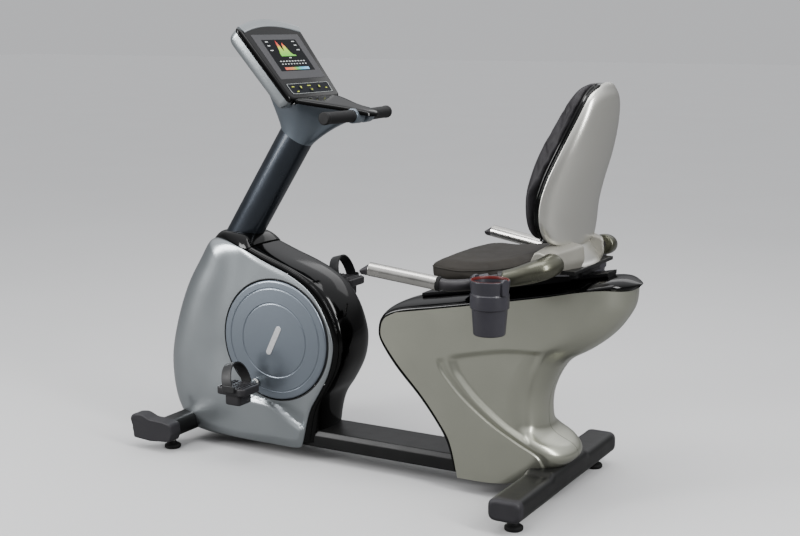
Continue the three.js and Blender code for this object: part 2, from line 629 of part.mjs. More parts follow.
const coverEdge = [
  [296, 60], [276, 139], [242, 196], [186, 265], [111, 342], [63, 404], [52, 436], [63, 474], [103, 499],
  [225, 520], [336, 541], [462, 566], [555, 585], [650, 607], [715, 616], [768, 612],
];
const coverCrest = [
  [280, 60], [255, 134], [222, 186], [168, 252], [94, 328], [48, 394], [36, 438], [50, 484], [103, 519],
  [225, 543], [336, 564], [462, 589], [555, 607], [650, 625], [730, 636], [785, 622],
];
const tail = (t) => (t < 0.86 ? 1 : Math.sqrt(Math.max(0.09, 1 - ((t - 0.86) / 0.145) ** 2)));
const cover = skin(
  bridge(coverEdge, coverCrest, 106, 0, 6, 28, tail),
  bridge(coverEdge, coverCrest, 106, WALL, 6, 28, tail),
);
const RAIL_X = [150, 700];
const slideBar = (x0, x1, low, high, half) => slabY([
  [x0, coverTop(x0) + low], [x1, coverTop(x1) + low], [x1, coverTop(x1) + high], [x0, coverTop(x0) + high],
], -half, half);
add('rear_shroud_spine', cut(cover, slideBar(RAIL_X[0] - 3, RAIL_X[1] + 3, -60, 40, 37),
  block([200, 340], [-RAIL_HALF - 2, RAIL_HALF + 2], [20, 99])), blackGloss);
add('seat_rail', slideBar(...RAIL_X, -36, 13, 34), blackSatin);
add('rear_upright', cut(slabY([
  [385, RAIL_TOP + GAP], [470, RAIL_TOP + GAP], [470, coverTop(470) - 36 - GAP], [385, coverTop(385) - 36 - GAP],
], -40, 40), block([389, 466], [-36, 36], [60, 700])), blackSatin);

// ---------------------------------------------------------------- seat
const railTop = (x) => coverTop(x) + 13;
const runner = [
  [330, railTop(330) - 11], [600, railTop(600) - 11], [600, railTop(600) + 4], [330, railTop(330) + 4],
];
add('seat_carriage', joined(
  slabY([[290, railTop(290) + 1], [640, railTop(640) + 1], [640, 648], [470, 632], [290, 614]], -90, 90),
  slabY(runner, 36, 48),
  slabY(runner, -48, -36),
), blackSatin);

// The cushion is waisted in front and dished, with its sides rising towards the rear.
const seatStations = [
  [247, 640, 652, 150], [256, 630, 662, 186], [290, 624, 660, 200], [350, 628, 655, 200], [420, 636, 664, 200],
  [490, 647, 680, 198], [540, 656, 700, 190], [562, 664, 704, 172],
];
add('seat_cushion', loft(seatStations.map(([x, low, high, half]) => ovalRing(
  new THREE.Vector3(x, 0, (low + high) / 2), new THREE.Vector3(0, half, 0),
  new THREE.Vector3(0, 0, (high - low) / 2), 5, 20))), leather);

// Back sections: [front x, seam x, rear x, z, half width].
const backStations = [
  [548, 572, 612, 728, 118], [528, 566, 622, 748, 140], [516, 561, 627, 790, 157], [513, 563, 632, 840, 160],
  [530, 580, 646, 900, 157], [559, 607, 668, 970, 144], [589, 632, 684, 1036, 124], [609, 648, 690, 1085, 104],
  [626, 656, 690, 1114, 84], [648, 664, 684, 1134, 56],
];
const BACK_LEAN = 0.36;
function backRing(front, rear, seam, z, half) {
  const depth = (rear - front) / 2;
  const middle = (front + rear) / 2;
  return ovalRing(new THREE.Vector3(middle, 0, z + BACK_LEAN * (seam - middle)),
    new THREE.Vector3(depth, 0, -BACK_LEAN * depth), new THREE.Vector3(0, half, 0), 3, 20);
}
add('back_cushion', loft(backStations.map(([x0, x1, , z, half]) => backRing(x0, x1 - 1.5, x1, z, half))), leather);
const shellFoot = [[585, 640, 690, 92], [576, 628, 710, 104]];
add('back_shell', loft([
  ...shellFoot.map(([x0, x1, z, half]) => backRing(x0, x1, x0, z, half)),
  ...backStations.map(([, x1, x2, z, half]) => backRing(x1 + 1.5, x2, x1, z, half)),
]), silverPaint);

// A steel cross member under the back, with a side plate for each hand rail.
const wing = [[568, 655], [690, 660], [700, 690], [676, 728], [606, 735], [566, 704]];
add('seat_bracket', joined(
  block([600, 650], [-186, 186], [653, 662]),
  slabY(wing, 170, 186),
  slabY(wing, -186, -170),
), coverPlastic);

const handRoute = [
  new THREE.Vector3(152, 377, 670), new THREE.Vector3(262, 361, 655), new THREE.Vector3(372, 345, 640),
  new THREE.Vector3(394, 341, 638), new THREE.Vector3(434, 312, 639), new THREE.Vector3(478, 272, 646),
  new THREE.Vector3(540, 250, 660), new THREE.Vector3(596, 232, 680), new THREE.Vector3(634, 200, 691),
];
function tubeAlong(points, radius, steps, hole = 0) {
  const shape = new THREE.Shape(oval(radius, radius, 12));
  if (hole) {
    shape.holes.push(new THREE.Path(oval(hole, hole, 12)));
  }
  const path = new THREE.CatmullRomCurve3(points, false, 'centripetal');
  return new THREE.ExtrudeGeometry(shape, { steps, bevelEnabled: false, extrudePath: path });
}
const SLEEVE = [handRoute[0].clone().lerp(handRoute[2], 0.12), handRoute[0].clone().lerp(handRoute[2], 0.95)];
const CUP = new THREE.Vector3(505, 340, 663);
const cupProfile = [
  [0, -140], [35, -140], [38, -136], [42, -74], [48, -70], [48, -34], [51, -12], [51, 0], [46, 0],
  [43, -34], [38, -70], [34, -134], [0, -134],
];
const cupHollow = turned([[0, -130], [34, -130], [38, -70], [45, 0], [45, 30], [0, 30]], 24)
  .rotateX(Math.PI / 2).translate(CUP.x, CUP.y, CUP.z);
for (const [side, sign] of sides) {
  add(`hand_rail_${side}`, flipped(tubeAlong(handRoute, 14.5, 16), sign), greyPlastic);
  add(`pulse_sleeve_${side}`, flipped(tubeAlong(SLEEVE, 18, 1, 15.6), sign), steel);
  const cup = turned(cupProfile, 24).rotateX(Math.PI / 2).translate(CUP.x, CUP.y, CUP.z);
  const clamp = tubeAlong([handRoute[4].clone().lerp(handRoute[5], 0.3), handRoute[5]], 21, 1);
  const holder = cut(joined(cup, clamp), tubeAlong(handRoute, 15, 16), cupHollow);
  add(`cup_holder_${side}`, flipped(holder, sign), cupPlastic);
}

// The slide lock is a bent rod under the cushion on the right.
const leverRoute = [
  new THREE.Vector3(440, 92.5, 600), new THREE.Vector3(440, 140, 598), new THREE.Vector3(420, 190, 592),
  new THREE.Vector3(380, 214, 588),
];
add('seat_lever', tubeAlong(leverRoute, 6, 8), blackSatin);

export default group;
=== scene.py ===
import json
import math

import bpy
import numpy as np
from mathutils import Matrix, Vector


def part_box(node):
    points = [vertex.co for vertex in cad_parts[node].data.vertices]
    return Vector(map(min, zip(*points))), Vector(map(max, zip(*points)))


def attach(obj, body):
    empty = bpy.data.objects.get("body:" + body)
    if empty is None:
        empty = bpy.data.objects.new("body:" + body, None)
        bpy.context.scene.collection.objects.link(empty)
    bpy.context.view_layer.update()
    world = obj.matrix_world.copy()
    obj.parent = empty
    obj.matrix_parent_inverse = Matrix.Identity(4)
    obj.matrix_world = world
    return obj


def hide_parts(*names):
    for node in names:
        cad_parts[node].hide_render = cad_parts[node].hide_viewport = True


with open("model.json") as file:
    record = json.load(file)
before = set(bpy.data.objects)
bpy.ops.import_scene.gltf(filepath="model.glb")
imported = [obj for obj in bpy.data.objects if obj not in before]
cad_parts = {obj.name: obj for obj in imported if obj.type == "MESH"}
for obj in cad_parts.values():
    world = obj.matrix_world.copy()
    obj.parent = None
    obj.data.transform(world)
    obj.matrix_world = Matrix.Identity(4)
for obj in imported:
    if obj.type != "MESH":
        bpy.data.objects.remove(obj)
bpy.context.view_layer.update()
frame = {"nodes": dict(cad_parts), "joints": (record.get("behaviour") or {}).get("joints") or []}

# ---------------------------------------------------------------- studio
# A plain pale floor and four soft lamps: a broad one overhead, two tall ones along the near side for the
# long highlights in the paint, and a weak one behind. The camera stands to the rider's left and behind.

def linear(hex_colour):
    """An sRGB hex colour as linear red, green, blue and alpha, by the sRGB transfer curve."""
    values = np.array([int(hex_colour[i:i + 2], 16) for i in (1, 3, 5)]) / 255
    curved = np.where(values <= 0.04045, values / 12.92, ((values + 0.055) / 1.055) ** 2.4)
    return (*curved.tolist(), 1.0)


def add_node(tree, kind, sockets=None, **settings):
    """Adds one node. Settings are its own properties. Sockets gives each named or numbered input a value,
    or another node's output to link to it."""
    made = tree.nodes.new(kind)
    for name, value in settings.items():
        setattr(made, name, value)
    for name, value in (sockets or {}).items():
        if isinstance(value, bpy.types.NodeSocket):
            tree.links.new(value, made.inputs[name])
        else:
            made.inputs[name].default_value = value
    return made


def surface(name, colour, roughness, blotch=80, tint=0.06, wear=0.04, grain=0.6, height=0.004, **sockets):
    """A Principled material. Its colour drifts by tint and its roughness by wear with a soft noise of
    blotch millimetres, and a fine noise of grain millimetres raises a bump of height millimetres."""
    made = bpy.data.materials.new(name)
    made.use_nodes = True
    tree = made.node_tree
    shader = tree.nodes["Principled BSDF"]
    for socket, value in sockets.items():
        shader.inputs[socket.replace("_", " ").title().replace("Ior", "IOR")].default_value = value
    place = add_node(tree, "ShaderNodeTexCoord").outputs["Object"]
    soft = add_node(tree, "ShaderNodeTexNoise", {"Vector": place, "Scale": 1000 / blotch, "Detail": 3.0})
    fine = add_node(tree, "ShaderNodeTexNoise", {"Vector": place, "Scale": 1000 / grain, "Detail": 2.0})
    base = linear(colour)
    ramp = add_node(tree, "ShaderNodeValToRGB", {"Fac": soft.outputs["Fac"]})
    ramp.color_ramp.elements[0].position = 0.3
    ramp.color_ramp.elements[1].position = 0.7
    ramp.color_ramp.elements[0].color = (*[c * (1 - tint) for c in base[:3]], 1.0)
    ramp.color_ramp.elements[1].color = (*[min(1.0, c * (1 + tint)) for c in base[:3]], 1.0)
    tree.links.new(ramp.outputs["Color"], shader.inputs["Base Color"])
    rough = add_node(tree, "ShaderNodeMapRange", {
        "Value": soft.outputs["Fac"], "From Min": 0.3, "From Max": 0.7,
        "To Min": roughness - wear, "To Max": roughness + wear})
    tree.links.new(rough.outputs["Result"], shader.inputs["Roughness"])
    bump = add_node(tree, "ShaderNodeBump", {
        "Height": fine.outputs["Fac"], "Distance": height / 1000, "Strength": 1.0})
    tree.links.new(bump.outputs["Normal"], shader.inputs["Normal"])
    return made


camera = bpy.data.objects.new("camera", bpy.data.cameras.new("camera"))
camera.location = (1.8985, -3.320, 1.290)
camera.rotation_euler = (math.radians(79.70), 0, math.radians(29.12))
camera.data.lens = 60.58
bpy.context.scene.collection.objects.link(camera)
bpy.context.scene.camera = camera

FLOOR_HALF = 40
floor_mesh = bpy.data.meshes.new("floor")
floor_mesh.from_pydata([(x * FLOOR_HALF, y * FLOOR_HALF, 0) for x, y in ((-1, -1), (1, -1), (1, 1), (-1, 1))],
                       [], [(0, 1, 2, 3)])
floor = bpy.data.objects.new("floor", floor_mesh)
bpy.context.scene.collection.objects.link(floor)
# Matt paper has no shine. It is pale to the camera and darker in the bike's paint, so lower panels fall darker.
paper = surface("matt_paper_floor", "#c9c9c9", 0.9, blotch=900, tint=0.01, wear=0.02, specular_ior_level=0.1)
seen = add_node(paper.node_tree, "ShaderNodeLightPath").outputs["Is Camera Ray"]
pale = next(n for n in paper.node_tree.nodes if n.type == "VALTORGB").outputs["Color"]
either = add_node(paper.node_tree, "ShaderNodeMix", {0: seen, 6: linear("#727272"), 7: pale}, data_type="RGBA")
paper.node_tree.links.new(either.outputs[2], paper.node_tree.nodes["Principled BSDF"].inputs["Base Color"])
floor.data.materials.append(paper)

# The walls light the bike from a pale ceiling down to a darker skirting, and the camera sees one plain grey.
world = bpy.data.worlds.new("pale_studio")
bpy.context.scene.world = world
world.use_nodes = True
walls = world.node_tree
toward = add_node(walls, "ShaderNodeTexCoord").outputs["Generated"]
height = add_node(walls, "ShaderNodeSeparateXYZ", {"Vector": toward}).outputs["Z"]
fade = add_node(walls, "ShaderNodeMapRange", {
    "Value": height, "From Min": 0.1, "From Max": 0.95, "To Min": 0.14, "To Max": 1.55})
ray = add_node(walls, "ShaderNodeLightPath").outputs["Is Camera Ray"]
strength = add_node(walls, "ShaderNodeMix", {"Factor": ray, "A": fade.outputs["Result"], "B": 0.60})
background = walls.nodes["Background"]
background.inputs["Color"].default_value = linear("#fbfcff")
walls.links.new(strength.outputs["Result"], background.inputs["Strength"])


def lamp(name, place, target, width, height, power):
    """A rectangular lamp at place that faces target."""
    made = bpy.data.objects.new(name, bpy.data.lights.new(name, "AREA"))
    made.data.shape = "RECTANGLE"
    made.data.size = width
    made.data.size_y = height
    made.data.energy = power
    made.location = place
    aim = np.array(target, float) - np.array(place, float)
    made.rotation_euler = (math.atan2(math.hypot(aim[0], aim[1]), -aim[2]), 0, math.atan2(-aim[0], aim[1]))
    bpy.context.scene.collection.objects.link(made)


lamp("overhead", (0.2, -0.4, 3.6), (0.0, 0.0, 0.5), 2.6, 1.6, 60)
lamp("near_side", (-2.8, -3.0, 2.0), (-0.2, 0.0, 0.6), 1.0, 2.6, 150)
lamp("rear_strip", (3.0, -1.0, 2.2), (0.5, 0.0, 0.6), 0.7, 2.4, 100)
lamp("far_rim", (0.0, 3.4, 2.6), (0.0, 0.0, 0.7), 3.0, 1.0, 10)

# ---------------------------------------------------------------- rail and stabilisers
# The long rail is a pressed steel tube with bevelled shoulders, and each stabiliser is a rounded steel
# tube across the bike. All are powder coated satin black. The rear tube swells to carry the pedestal.

joints = {joint["name"]: joint for joint in frame["joints"]}
CRANK = np.array([-312.0, 0.0, 364.0])
# Sizes are in millimetres from the drawing's own zero, and SHIFT takes them into the frame.
SHIFT = np.array([joints["crank_spin"]["pos_m"][0] * 1000 - CRANK[0], 0.0, 0.0])
MIRROR = np.array([1.0, -1.0, 1.0])
SIDES = (("left", -1), ("right", 1))


def node_corners(node):
    """A CAD node's lowest and highest corners, in the drawing's millimetres."""
    return tuple(np.array(corner) * 1000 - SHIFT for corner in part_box(node))


def grid_faces(rows, columns, wrap_rows=False, wrap_columns=False, start=0):
    """The quads of a grid whose point in row r and column c is number start + r * columns + c."""
    r, c = np.meshgrid(np.arange(rows if wrap_rows else rows - 1),
                       np.arange(columns if wrap_columns else columns - 1), indexing="ij")
    r, c = r.ravel(), c.ravel()
    below, beside = (r + 1) % rows, (c + 1) % columns
    return start + np.stack([r * columns + c, below * columns + c, below * columns + beside,
                             r * columns + beside], 1)


def make(name, parts, material, crease=40, sign=1):
    """A closed mesh from (points in millimetres, quads) parts. A triangle is a quad whose last corner is
    repeated. A sign of -1 mirrors the parts to the left. A part whose signed volume is negative is turned
    inside out."""
    all_points, all_faces, start = [], [], 0
    for points, faces in parts:
        p = np.asarray(points, float).reshape(-1, 3) * (1, sign, 1)
        a, b, c, d = (p[faces[:, k]] for k in range(4))
        volume = (np.cross(b, c) * a).sum() + (np.cross(c, d) * a).sum()
        all_points.append(p)
        all_faces.append((faces[:, ::-1] if volume < 0 else faces) + start)
        start += len(p)
    points = (np.vstack(all_points) + SHIFT) / 1000
    faces = [list(dict.fromkeys(face)) for face in np.vstack(all_faces).tolist()]
    mesh = bpy.data.meshes.new(name)
    mesh.from_pydata(points.tolist(), [], faces)
    mesh.polygons.foreach_set("use_smooth", np.ones(len(mesh.polygons), bool))
    mesh.set_sharp_from_angle(angle=math.radians(crease))
    mesh.update()
    made = bpy.data.objects.new(name, mesh)
    bpy.context.scene.collection.objects.link(made)
    if material:
        mesh.materials.append(material)
    return made


def tube(rings):
    """A closed solid through rings of equal length, each end closed by a fan to its middle."""
    rings = np.asarray(rings, float)
    rows, columns = rings.shape[:2]
    points = np.vstack([rings.reshape(-1, 3), rings[0].mean(0), rings[-1].mean(0)])
    c = np.arange(columns)
    beside = (c + 1) % columns
    last = (rows - 1) * columns
    first_fan = np.stack([beside, c, np.full(columns, rows * columns), np.full(columns, rows * columns)], 1)
    end = np.full(columns, rows * columns + 1)
    end_fan = np.stack([last + c, last + beside, end, end], 1)
    return points, np.vstack([grid_faces(rows, columns, wrap_columns=True), first_fan, end_fan])


def unit(vectors):
    """Vectors along the last axis, each divided by its length."""
    return vectors / np.linalg.norm(vectors, axis=-1, keepdims=True)


def fillet(corners, radius, steps=6):
    """An outline with each corner rounded by a quadratic curve that starts and ends radius from it."""
    corners = np.asarray(corners, float)
    radii = np.broadcast_to(radius, len(corners))[:, None]
    start = corners + unit(np.roll(corners, 1, 0) - corners) * radii
    end = corners + unit(np.roll(corners, -1, 0) - corners) * radii
    t = np.linspace(0, 1, steps + 1)[None, :, None]
    curve = (1 - t) ** 2 * start[:, None] + 2 * t * (1 - t) * corners[:, None] + t ** 2 * end[:, None]
    return curve.reshape(-1, 2)


def rectangle(left, right, low, high, radius, steps=6):
    """A rectangle between those four limits, with rounded corners."""
    return fillet([(left, low), (right, low), (right, high), (left, high)], radius, steps)


def finished(piece, body, slot, *nodes):
    """The piece rides on its body and stands for CAD nodes. Its slot is not used."""
    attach(piece, body)
    if nodes:
        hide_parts(*nodes)
    return piece


def fit(name, parts, material, body, slot, *nodes, crease=40, sign=1):
    """A piece made and finished in one go."""
    return finished(make(name, parts, material, crease, sign), body, slot, *nodes)


def pair(name, parts, material, body, slot, node=None, crease=40):
    """The same piece on both sides of the bike. Each may stand for the CAD node of its side."""
    for side, sign in SIDES:
        nodes = [f"{node}_{side}"] if node else []
        fit(f"{name}_{side}", parts, material, body, slot, *nodes, crease=crease, sign=sign)


def prism(outline, start, end, axis=1, rounding=0.0, steps=5):
    """An outline carried along an axis from start to end. Its ends are rounded: as t goes from 0 to a quarter
    turn, each end ring lies rounding * (1 - cos t) inwards and is smaller by rounding * (1 - sin t)."""
    outline = np.asarray(outline, float)
    middle = (outline.max(0) + outline.min(0)) / 2
    size = (outline.max(0) - outline.min(0)) / 2
    t = np.linspace(0, math.pi / 2, steps + 1) if rounding else np.full(1, math.pi / 2)
    inward = rounding * (1 - np.cos(t)) if rounding else np.zeros(1)
    shrink = rounding * (1 - np.sin(t))
    places = np.concatenate([start + inward, (end - inward)[::-1]])
    shrinks = np.concatenate([shrink, shrink[::-1]])
    rings = middle + (outline - middle) * (1 - shrinks[:, None, None] / size)
    return tube(np.insert(rings, axis, places[:, None], axis=2))


# Powder coat is a thick satin skin with a faint orange peel, so its highlights are soft and grainy.
powder_coat = surface("powder_coated_steel", "#121212", 0.38, blotch=60, tint=0.12, grain=1.6, height=0.05,
                      specular_ior_level=0.35)
rail_low, rail_high = node_corners("main_rail")
rail_half, shoulder, bevel = rail_high[1], 14.0, 8.0
rail_outline = fillet([
    (-rail_half, rail_low[2]), (rail_half, rail_low[2]), (rail_half, rail_high[2] - shoulder),
    (rail_half - bevel, rail_high[2]), (bevel - rail_half, rail_high[2]), (-rail_half, rail_high[2] - shoulder),
], [5, 5, 3, 3, 3, 3])
fit("main_rail_tube", [prism(rail_outline, rail_low[0], rail_high[0], axis=0)], powder_coat,
    "frame", "black_paint", "main_rail", crease=60)
STABILISER_ROUND, SWELL_HALF, SWELL_RUN = 22, 108, 30


def step(value, start, end):
    """A smooth step from 0 at start to 1 at end."""
    t = np.clip((value - start) / (end - start), 0, 1)
    return t * t * (3 - 2 * t)


def stabiliser(name, node, lift):
    """A rounded tube across the bike. Its upper half is raised in the middle by lift, which fades out over
    SWELL_RUN past SWELL_HALF."""
    low, high = node_corners(node)
    outline = rectangle(low[0], high[0], low[2], high[2], STABILISER_ROUND, 10)
    y = np.linspace(low[1], high[1], 120)
    share = np.clip((outline[:, 1] - low[2]) / (high[2] - low[2]), 0, 1)
    swell = lift * step(SWELL_HALF + SWELL_RUN - np.abs(y), 0, SWELL_RUN)
    rings = np.empty((len(y), len(outline), 3))
    rings[:, :, 0] = outline[:, 0]
    rings[:, :, 1] = y[:, None]
    rings[:, :, 2] = outline[:, 1] + swell[:, None] * share
    fit(name, [tube(rings)], powder_coat, "frame", "black_paint", node)


stabiliser("front_stabiliser_tube", "front_stabiliser", 0)
stabiliser("rear_stabiliser_tube", "rear_stabiliser", 10)

# ---------------------------------------------------------------- end caps, wheels and feet
# The rear tube ends in push-in caps and the front one in caps that reach forward as forks for the two
# transport wheels. All are moulded in dark grey plastic. The feet are rubber pads on plated studs.

# Moulded polypropylene carries the mould's fine spark-eroded grain, so it looks dry and even.
moulded_grey = surface("moulded_grey_polypropylene", "#2d2c2f", 0.5, blotch=40, tint=0.08, grain=0.9,
                       height=0.03, specular_ior_level=0.3)
# Rubber is duller still, and a little chalky.
tyre_rubber = surface("moulded_black_rubber", "#121212", 0.7, blotch=20, tint=0.15, grain=1.1, height=0.05,
                      specular_ior_level=0.25)
# Zinc plate is a grey mirror under a cloudy film.
zinc_plate = surface("zinc_plated_steel", "#9a9b98", 0.32, blotch=9, tint=0.1, metallic=1.0)

CAP_LAP, CAP_ROUND = 12, 11
for side, sign in SIDES:
    low, high = node_corners(f"rear_end_cap_{side}")
    inner, outer = sorted(abs(v) for v in (low[1], high[1]))
    cap = prism(rectangle(low[0], high[0], low[2], high[2], STABILISER_ROUND, 10), inner - CAP_LAP, outer,
                rounding=CAP_ROUND, steps=8)
    fit(f"rear_end_cap_moulding_{side}", [cap], moulded_grey, "frame", "grey_plastic",
        f"rear_end_cap_{side}", sign=sign)


def apply_modifier(piece, modifier):
    """Bakes a modifier into the piece's mesh."""
    with bpy.context.temp_override(object=piece, active_object=piece):
        bpy.ops.object.modifier_apply(modifier=modifier.name)


def cut_out(piece, cutters, sign):
    """Takes cutters, as parts for make, out of a piece with an exact boolean."""
    for part in cutters:
        tool = make(f"{piece.name}_cutter", [part], None, sign=sign)
        modifier = piece.modifiers.new("cut", "BOOLEAN")
        modifier.object = tool
        modifier.solver = "EXACT"
        apply_modifier(piece, modifier)
        bpy.data.objects.remove(tool)
    piece.data.set_sharp_from_angle(angle=math.radians(40))


def full_turn(count):
    """Count equal angles round a full turn."""
    return np.arange(count) * 2 * math.pi / count


def carried_round(profile, sides, axis):
    """The rings of a turned shape: each (radius, distance) pair of a profile carried round an axis."""
    angle = full_turn(sides)
    ring = np.stack([np.cos(angle), np.sin(angle)], 1)
    return np.insert(profile[:, 0, None, None] * ring, axis, profile[:, 1, None], axis=2)


def turned(profile, sides=64, axis=1, place=(0, 0, 0)):
    """A solid of revolution: (radius, distance) pairs carried round an axis, with both ends on that axis."""
    profile = np.asarray(profile, float)
    points, faces = tube(carried_round(profile[1:-1], sides, axis))
    points[-2:] = 0
    points[-2:, axis] = profile[0, 1], profile[-1, 1]
    return points + np.asarray(place, float), faces


def soft_turned(profile, radius, **options):
    """The same, with every corner of the profile but its ends rounded by radius."""
    profile = np.asarray(profile, float)
    spans = np.linalg.norm(np.diff(profile, axis=0), axis=1)
    radii = np.minimum(radius, np.minimum(spans[:-1], spans[1:]) * 0.45)
    ring = fillet(profile, np.concatenate([[1e-6], radii, [1e-6]]), 5)
    return turned(ring[3:-3], **options)


wheel_low, wheel_high = node_corners("transport_wheel_right")
wheel_axle = (wheel_low + wheel_high) / 2 * (1, 0, 1)
FORK_INNER, FORK_OUTER, SLOT_INNER, SLOT_OUTER, SLOT_RADIUS = 184, 232, 193, 225, 32
fork_outline = fillet([
    (-612, 38), (-604, 60), (-608, 92), (-640, 99), (-690, 100), (-722, 113), (-758, 108), (-764, 92),
    (-756, 70), (-752, 34), (-690, 30),
], [6, 6, 8, 8, 10, 12, 12, 6, 8, 5, 8])
fork_slots = (
    prism(rectangle(-790, -702, 10, 62, 2), SLOT_INNER, SLOT_OUTER),
    turned([(0, SLOT_INNER), (SLOT_RADIUS, SLOT_INNER), (SLOT_RADIUS, SLOT_OUTER), (0, SLOT_OUTER)],
           place=wheel_axle))
wheel = soft_turned([(0, 187), (5, 187), (5, 195), (18, 195), (18, 192.5), (27, 195.5), (27, 222.5),
                     (18, 225.5), (18, 223), (5, 223), (5, 231), (0, 231)], 2.5, sides=72, place=wheel_axle)
pad_profile = [(0, 0), (22, 0), (25, 2), (25, 10), (21, 13), (13, 16), (11, 23), (0, 23)]
for side, sign in SIDES:
    fork = make(f"wheel_fork_moulding_{side}", [prism(fork_outline, FORK_INNER, FORK_OUTER, rounding=5)],
                moulded_grey, sign=sign)
    cut_out(fork, fork_slots, sign)
    finished(fork, "frame", "grey_plastic", f"wheel_fork_{side}")
    fit(f"transport_wheel_tyre_{side}", [wheel], tyre_rubber, f"wheel_{side}", "rubber",
        f"transport_wheel_{side}", sign=sign)
    for end in ("front", "rear"):
        node, body = f"levelling_foot_{end}_{side}", f"foot_{end}_{side}"
        low, high = node_corners(node)
        middle = (low + high) / 2 * (1, 1, 0)
        fit(f"foot_pad_{end}_{side}", [soft_turned(pad_profile, 1.6, axis=2, place=middle)], tyre_rubber,
            body, "rubber", node)
        fit(f"foot_stud_{end}_{side}", [
            soft_turned([(0, 22), (10.5, 22), (10.5, 29), (0, 29)], 1, sides=6, axis=2, place=middle),
            turned([(0, 28), (5.4, 28), (5.4, 58), (0, 58)], 32, axis=2, place=middle)],
            zinc_plate, body, "rubber")

# ---------------------------------------------------------------- works inside the shrouds
# The welded drive frame, its bearing, the pulley, belt, flywheel and magnet brake, and the upright under
# the seat rail. They keep their engineering shapes and get the finish that each would have.

# Turned castings are a dull grey with a coarse skin, and ground steel is a cleaner, brighter one.
cast_iron = surface("turned_cast_iron", "#5a5b5e", 0.5, blotch=12, tint=0.18, grain=2.0, height=0.08,
                    metallic=0.9)
ground_steel = surface("ground_steel", "#b0b0ac", 0.28, blotch=15, tint=0.08, grain=0.8, height=0.01,
                       metallic=1.0)
for node, material in {
    "drive_frame": powder_coat, "rear_upright": powder_coat, "bearing_cartridge": ground_steel,
    "crank_axle": ground_steel, "drive_pulley": cast_iron, "flywheel": cast_iron, "brake_magnet": cast_iron,
    "drive_belt": tyre_rubber, "dc_inlet": moulded_grey,
}.items():
    frame["nodes"][node].data.materials.clear()
    frame["nodes"][node].data.materials.append(material)

# ---------------------------------------------------------------- crank discs, arms and pedals
# Each crank arm is a forging hidden behind a moulded disc that turns with it. The disc is painted blue
# grey and has two turned grooves and a blank name plate. The pedals are moulded, with ribbed treads.

CRANK_LENGTH, DISC_RADIUS, DISC_HOLE = 152.0, 180.0, 184.0
PIN = {side: np.array(joints[f"pedal_{side}_spin"]["pos_m"]) * 1000 - SHIFT for side, _ in SIDES}
# Metallic paint on a moulding: a cool sheen that slides over the dome, under a thin clear coat.
disc_paint = surface("satin_blue_grey_paint_on_abs", "#87909a", 0.3, blotch=300, tint=0.02, wear=0.006,
                     metallic=0.8, coat_weight=0.25, coat_roughness=0.2)
# Brushed aluminium reads as a pale, flat bar on the disc.
plate_metal = surface("brushed_aluminium_plate", "#d9dadb", 0.35, blotch=6, tint=0.05, metallic=0.4)
# Glass fibres leave the nylon dry and slightly rough. The straps' elastomer is smoother and blacker.
pedal_nylon = surface("moulded_glass_filled_nylon", "#2a292b", 0.46, blotch=25, tint=0.1, grain=0.8,
                      height=0.04, specular_ior_level=0.35)
strap_rubber = surface("moulded_strap_elastomer", "#1a1a1b", 0.5, blotch=15, tint=0.1, grain=0.7, height=0.02)


def disc_height(radius):
    """The disc's outer face: a shallow dome less two grooves, each a narrow bell round its radius."""
    dome = 104 - 4.5 * (radius / DISC_RADIUS) ** 2
    groove = sum(1.6 * np.exp(-((radius - share * DISC_RADIUS) / 1.5) ** 2) for share in (0.87, 0.62))
    return dome - groove


radii = np.unique(np.concatenate([np.linspace(2, 176, 60), *(
    share * DISC_RADIUS + np.linspace(-5, 5, 21) for share in (0.62, 0.87))]))
rim = fillet([(176, disc_height(176.0)), (180, 98.5), (180, 88)], [1e-6, 4, 1e-6])[7:14]
disc_profile = np.vstack([[(0, 104)], np.stack([radii, disc_height(radii)], 1), rim,
                          [(180, 88), (170, 88), (0, 88)]])


def stadium(length, width, steps=12):
    """An outline of two half circles joined by straight sides."""
    right, left = (np.linspace(start, start + math.pi, steps) for start in (-math.pi / 2, math.pi / 2))
    return np.vstack([
        np.stack([end * (length - width) / 2 + width / 2 * np.cos(a), width / 2 * np.sin(a)], 1)
        for end, a in ((1, right), (-1, left))])


def moved(part, by):
    """A part shifted by a vector."""
    return part[0] + np.asarray(by), part[1]


def turn(part, angle, middle):
    """A part turned about a line along Y through middle, from +X towards +Z."""
    c, s = math.cos(angle), math.sin(angle)
    return moved((part[0] @ np.array([[c, 0, s], [0, 1, 0], [-s, 0, c]]), part[1]), middle)


def ladder(start, steps):
    """The flat face of an arched band: quads between its outer line, of that many points from number start,
    and its inner line, which runs back the other way."""
    k = np.arange(steps - 1)
    return start + np.stack([k, k + 1, 2 * steps - 2 - k, 2 * steps - 1 - k], 1)


PEDAL_MIDDLE, STRAP_LEAN = 193, math.radians(16)


def strap_ring(x, half, rise):
    """A band over the shoe: half an ellipse standing on two short legs, in the YZ plane at x."""
    t = np.linspace(0, math.pi, 41)
    arch = np.stack([np.full(41, x), PEDAL_MIDDLE + half * np.cos(t), 16 + rise * np.sin(t)], 1)
    legs = np.array([[x, PEDAL_MIDDLE + half, 8.0], [x, PEDAL_MIDDLE - half, 8.0]])
    return np.vstack([legs[:1], arch, legs[1:]])


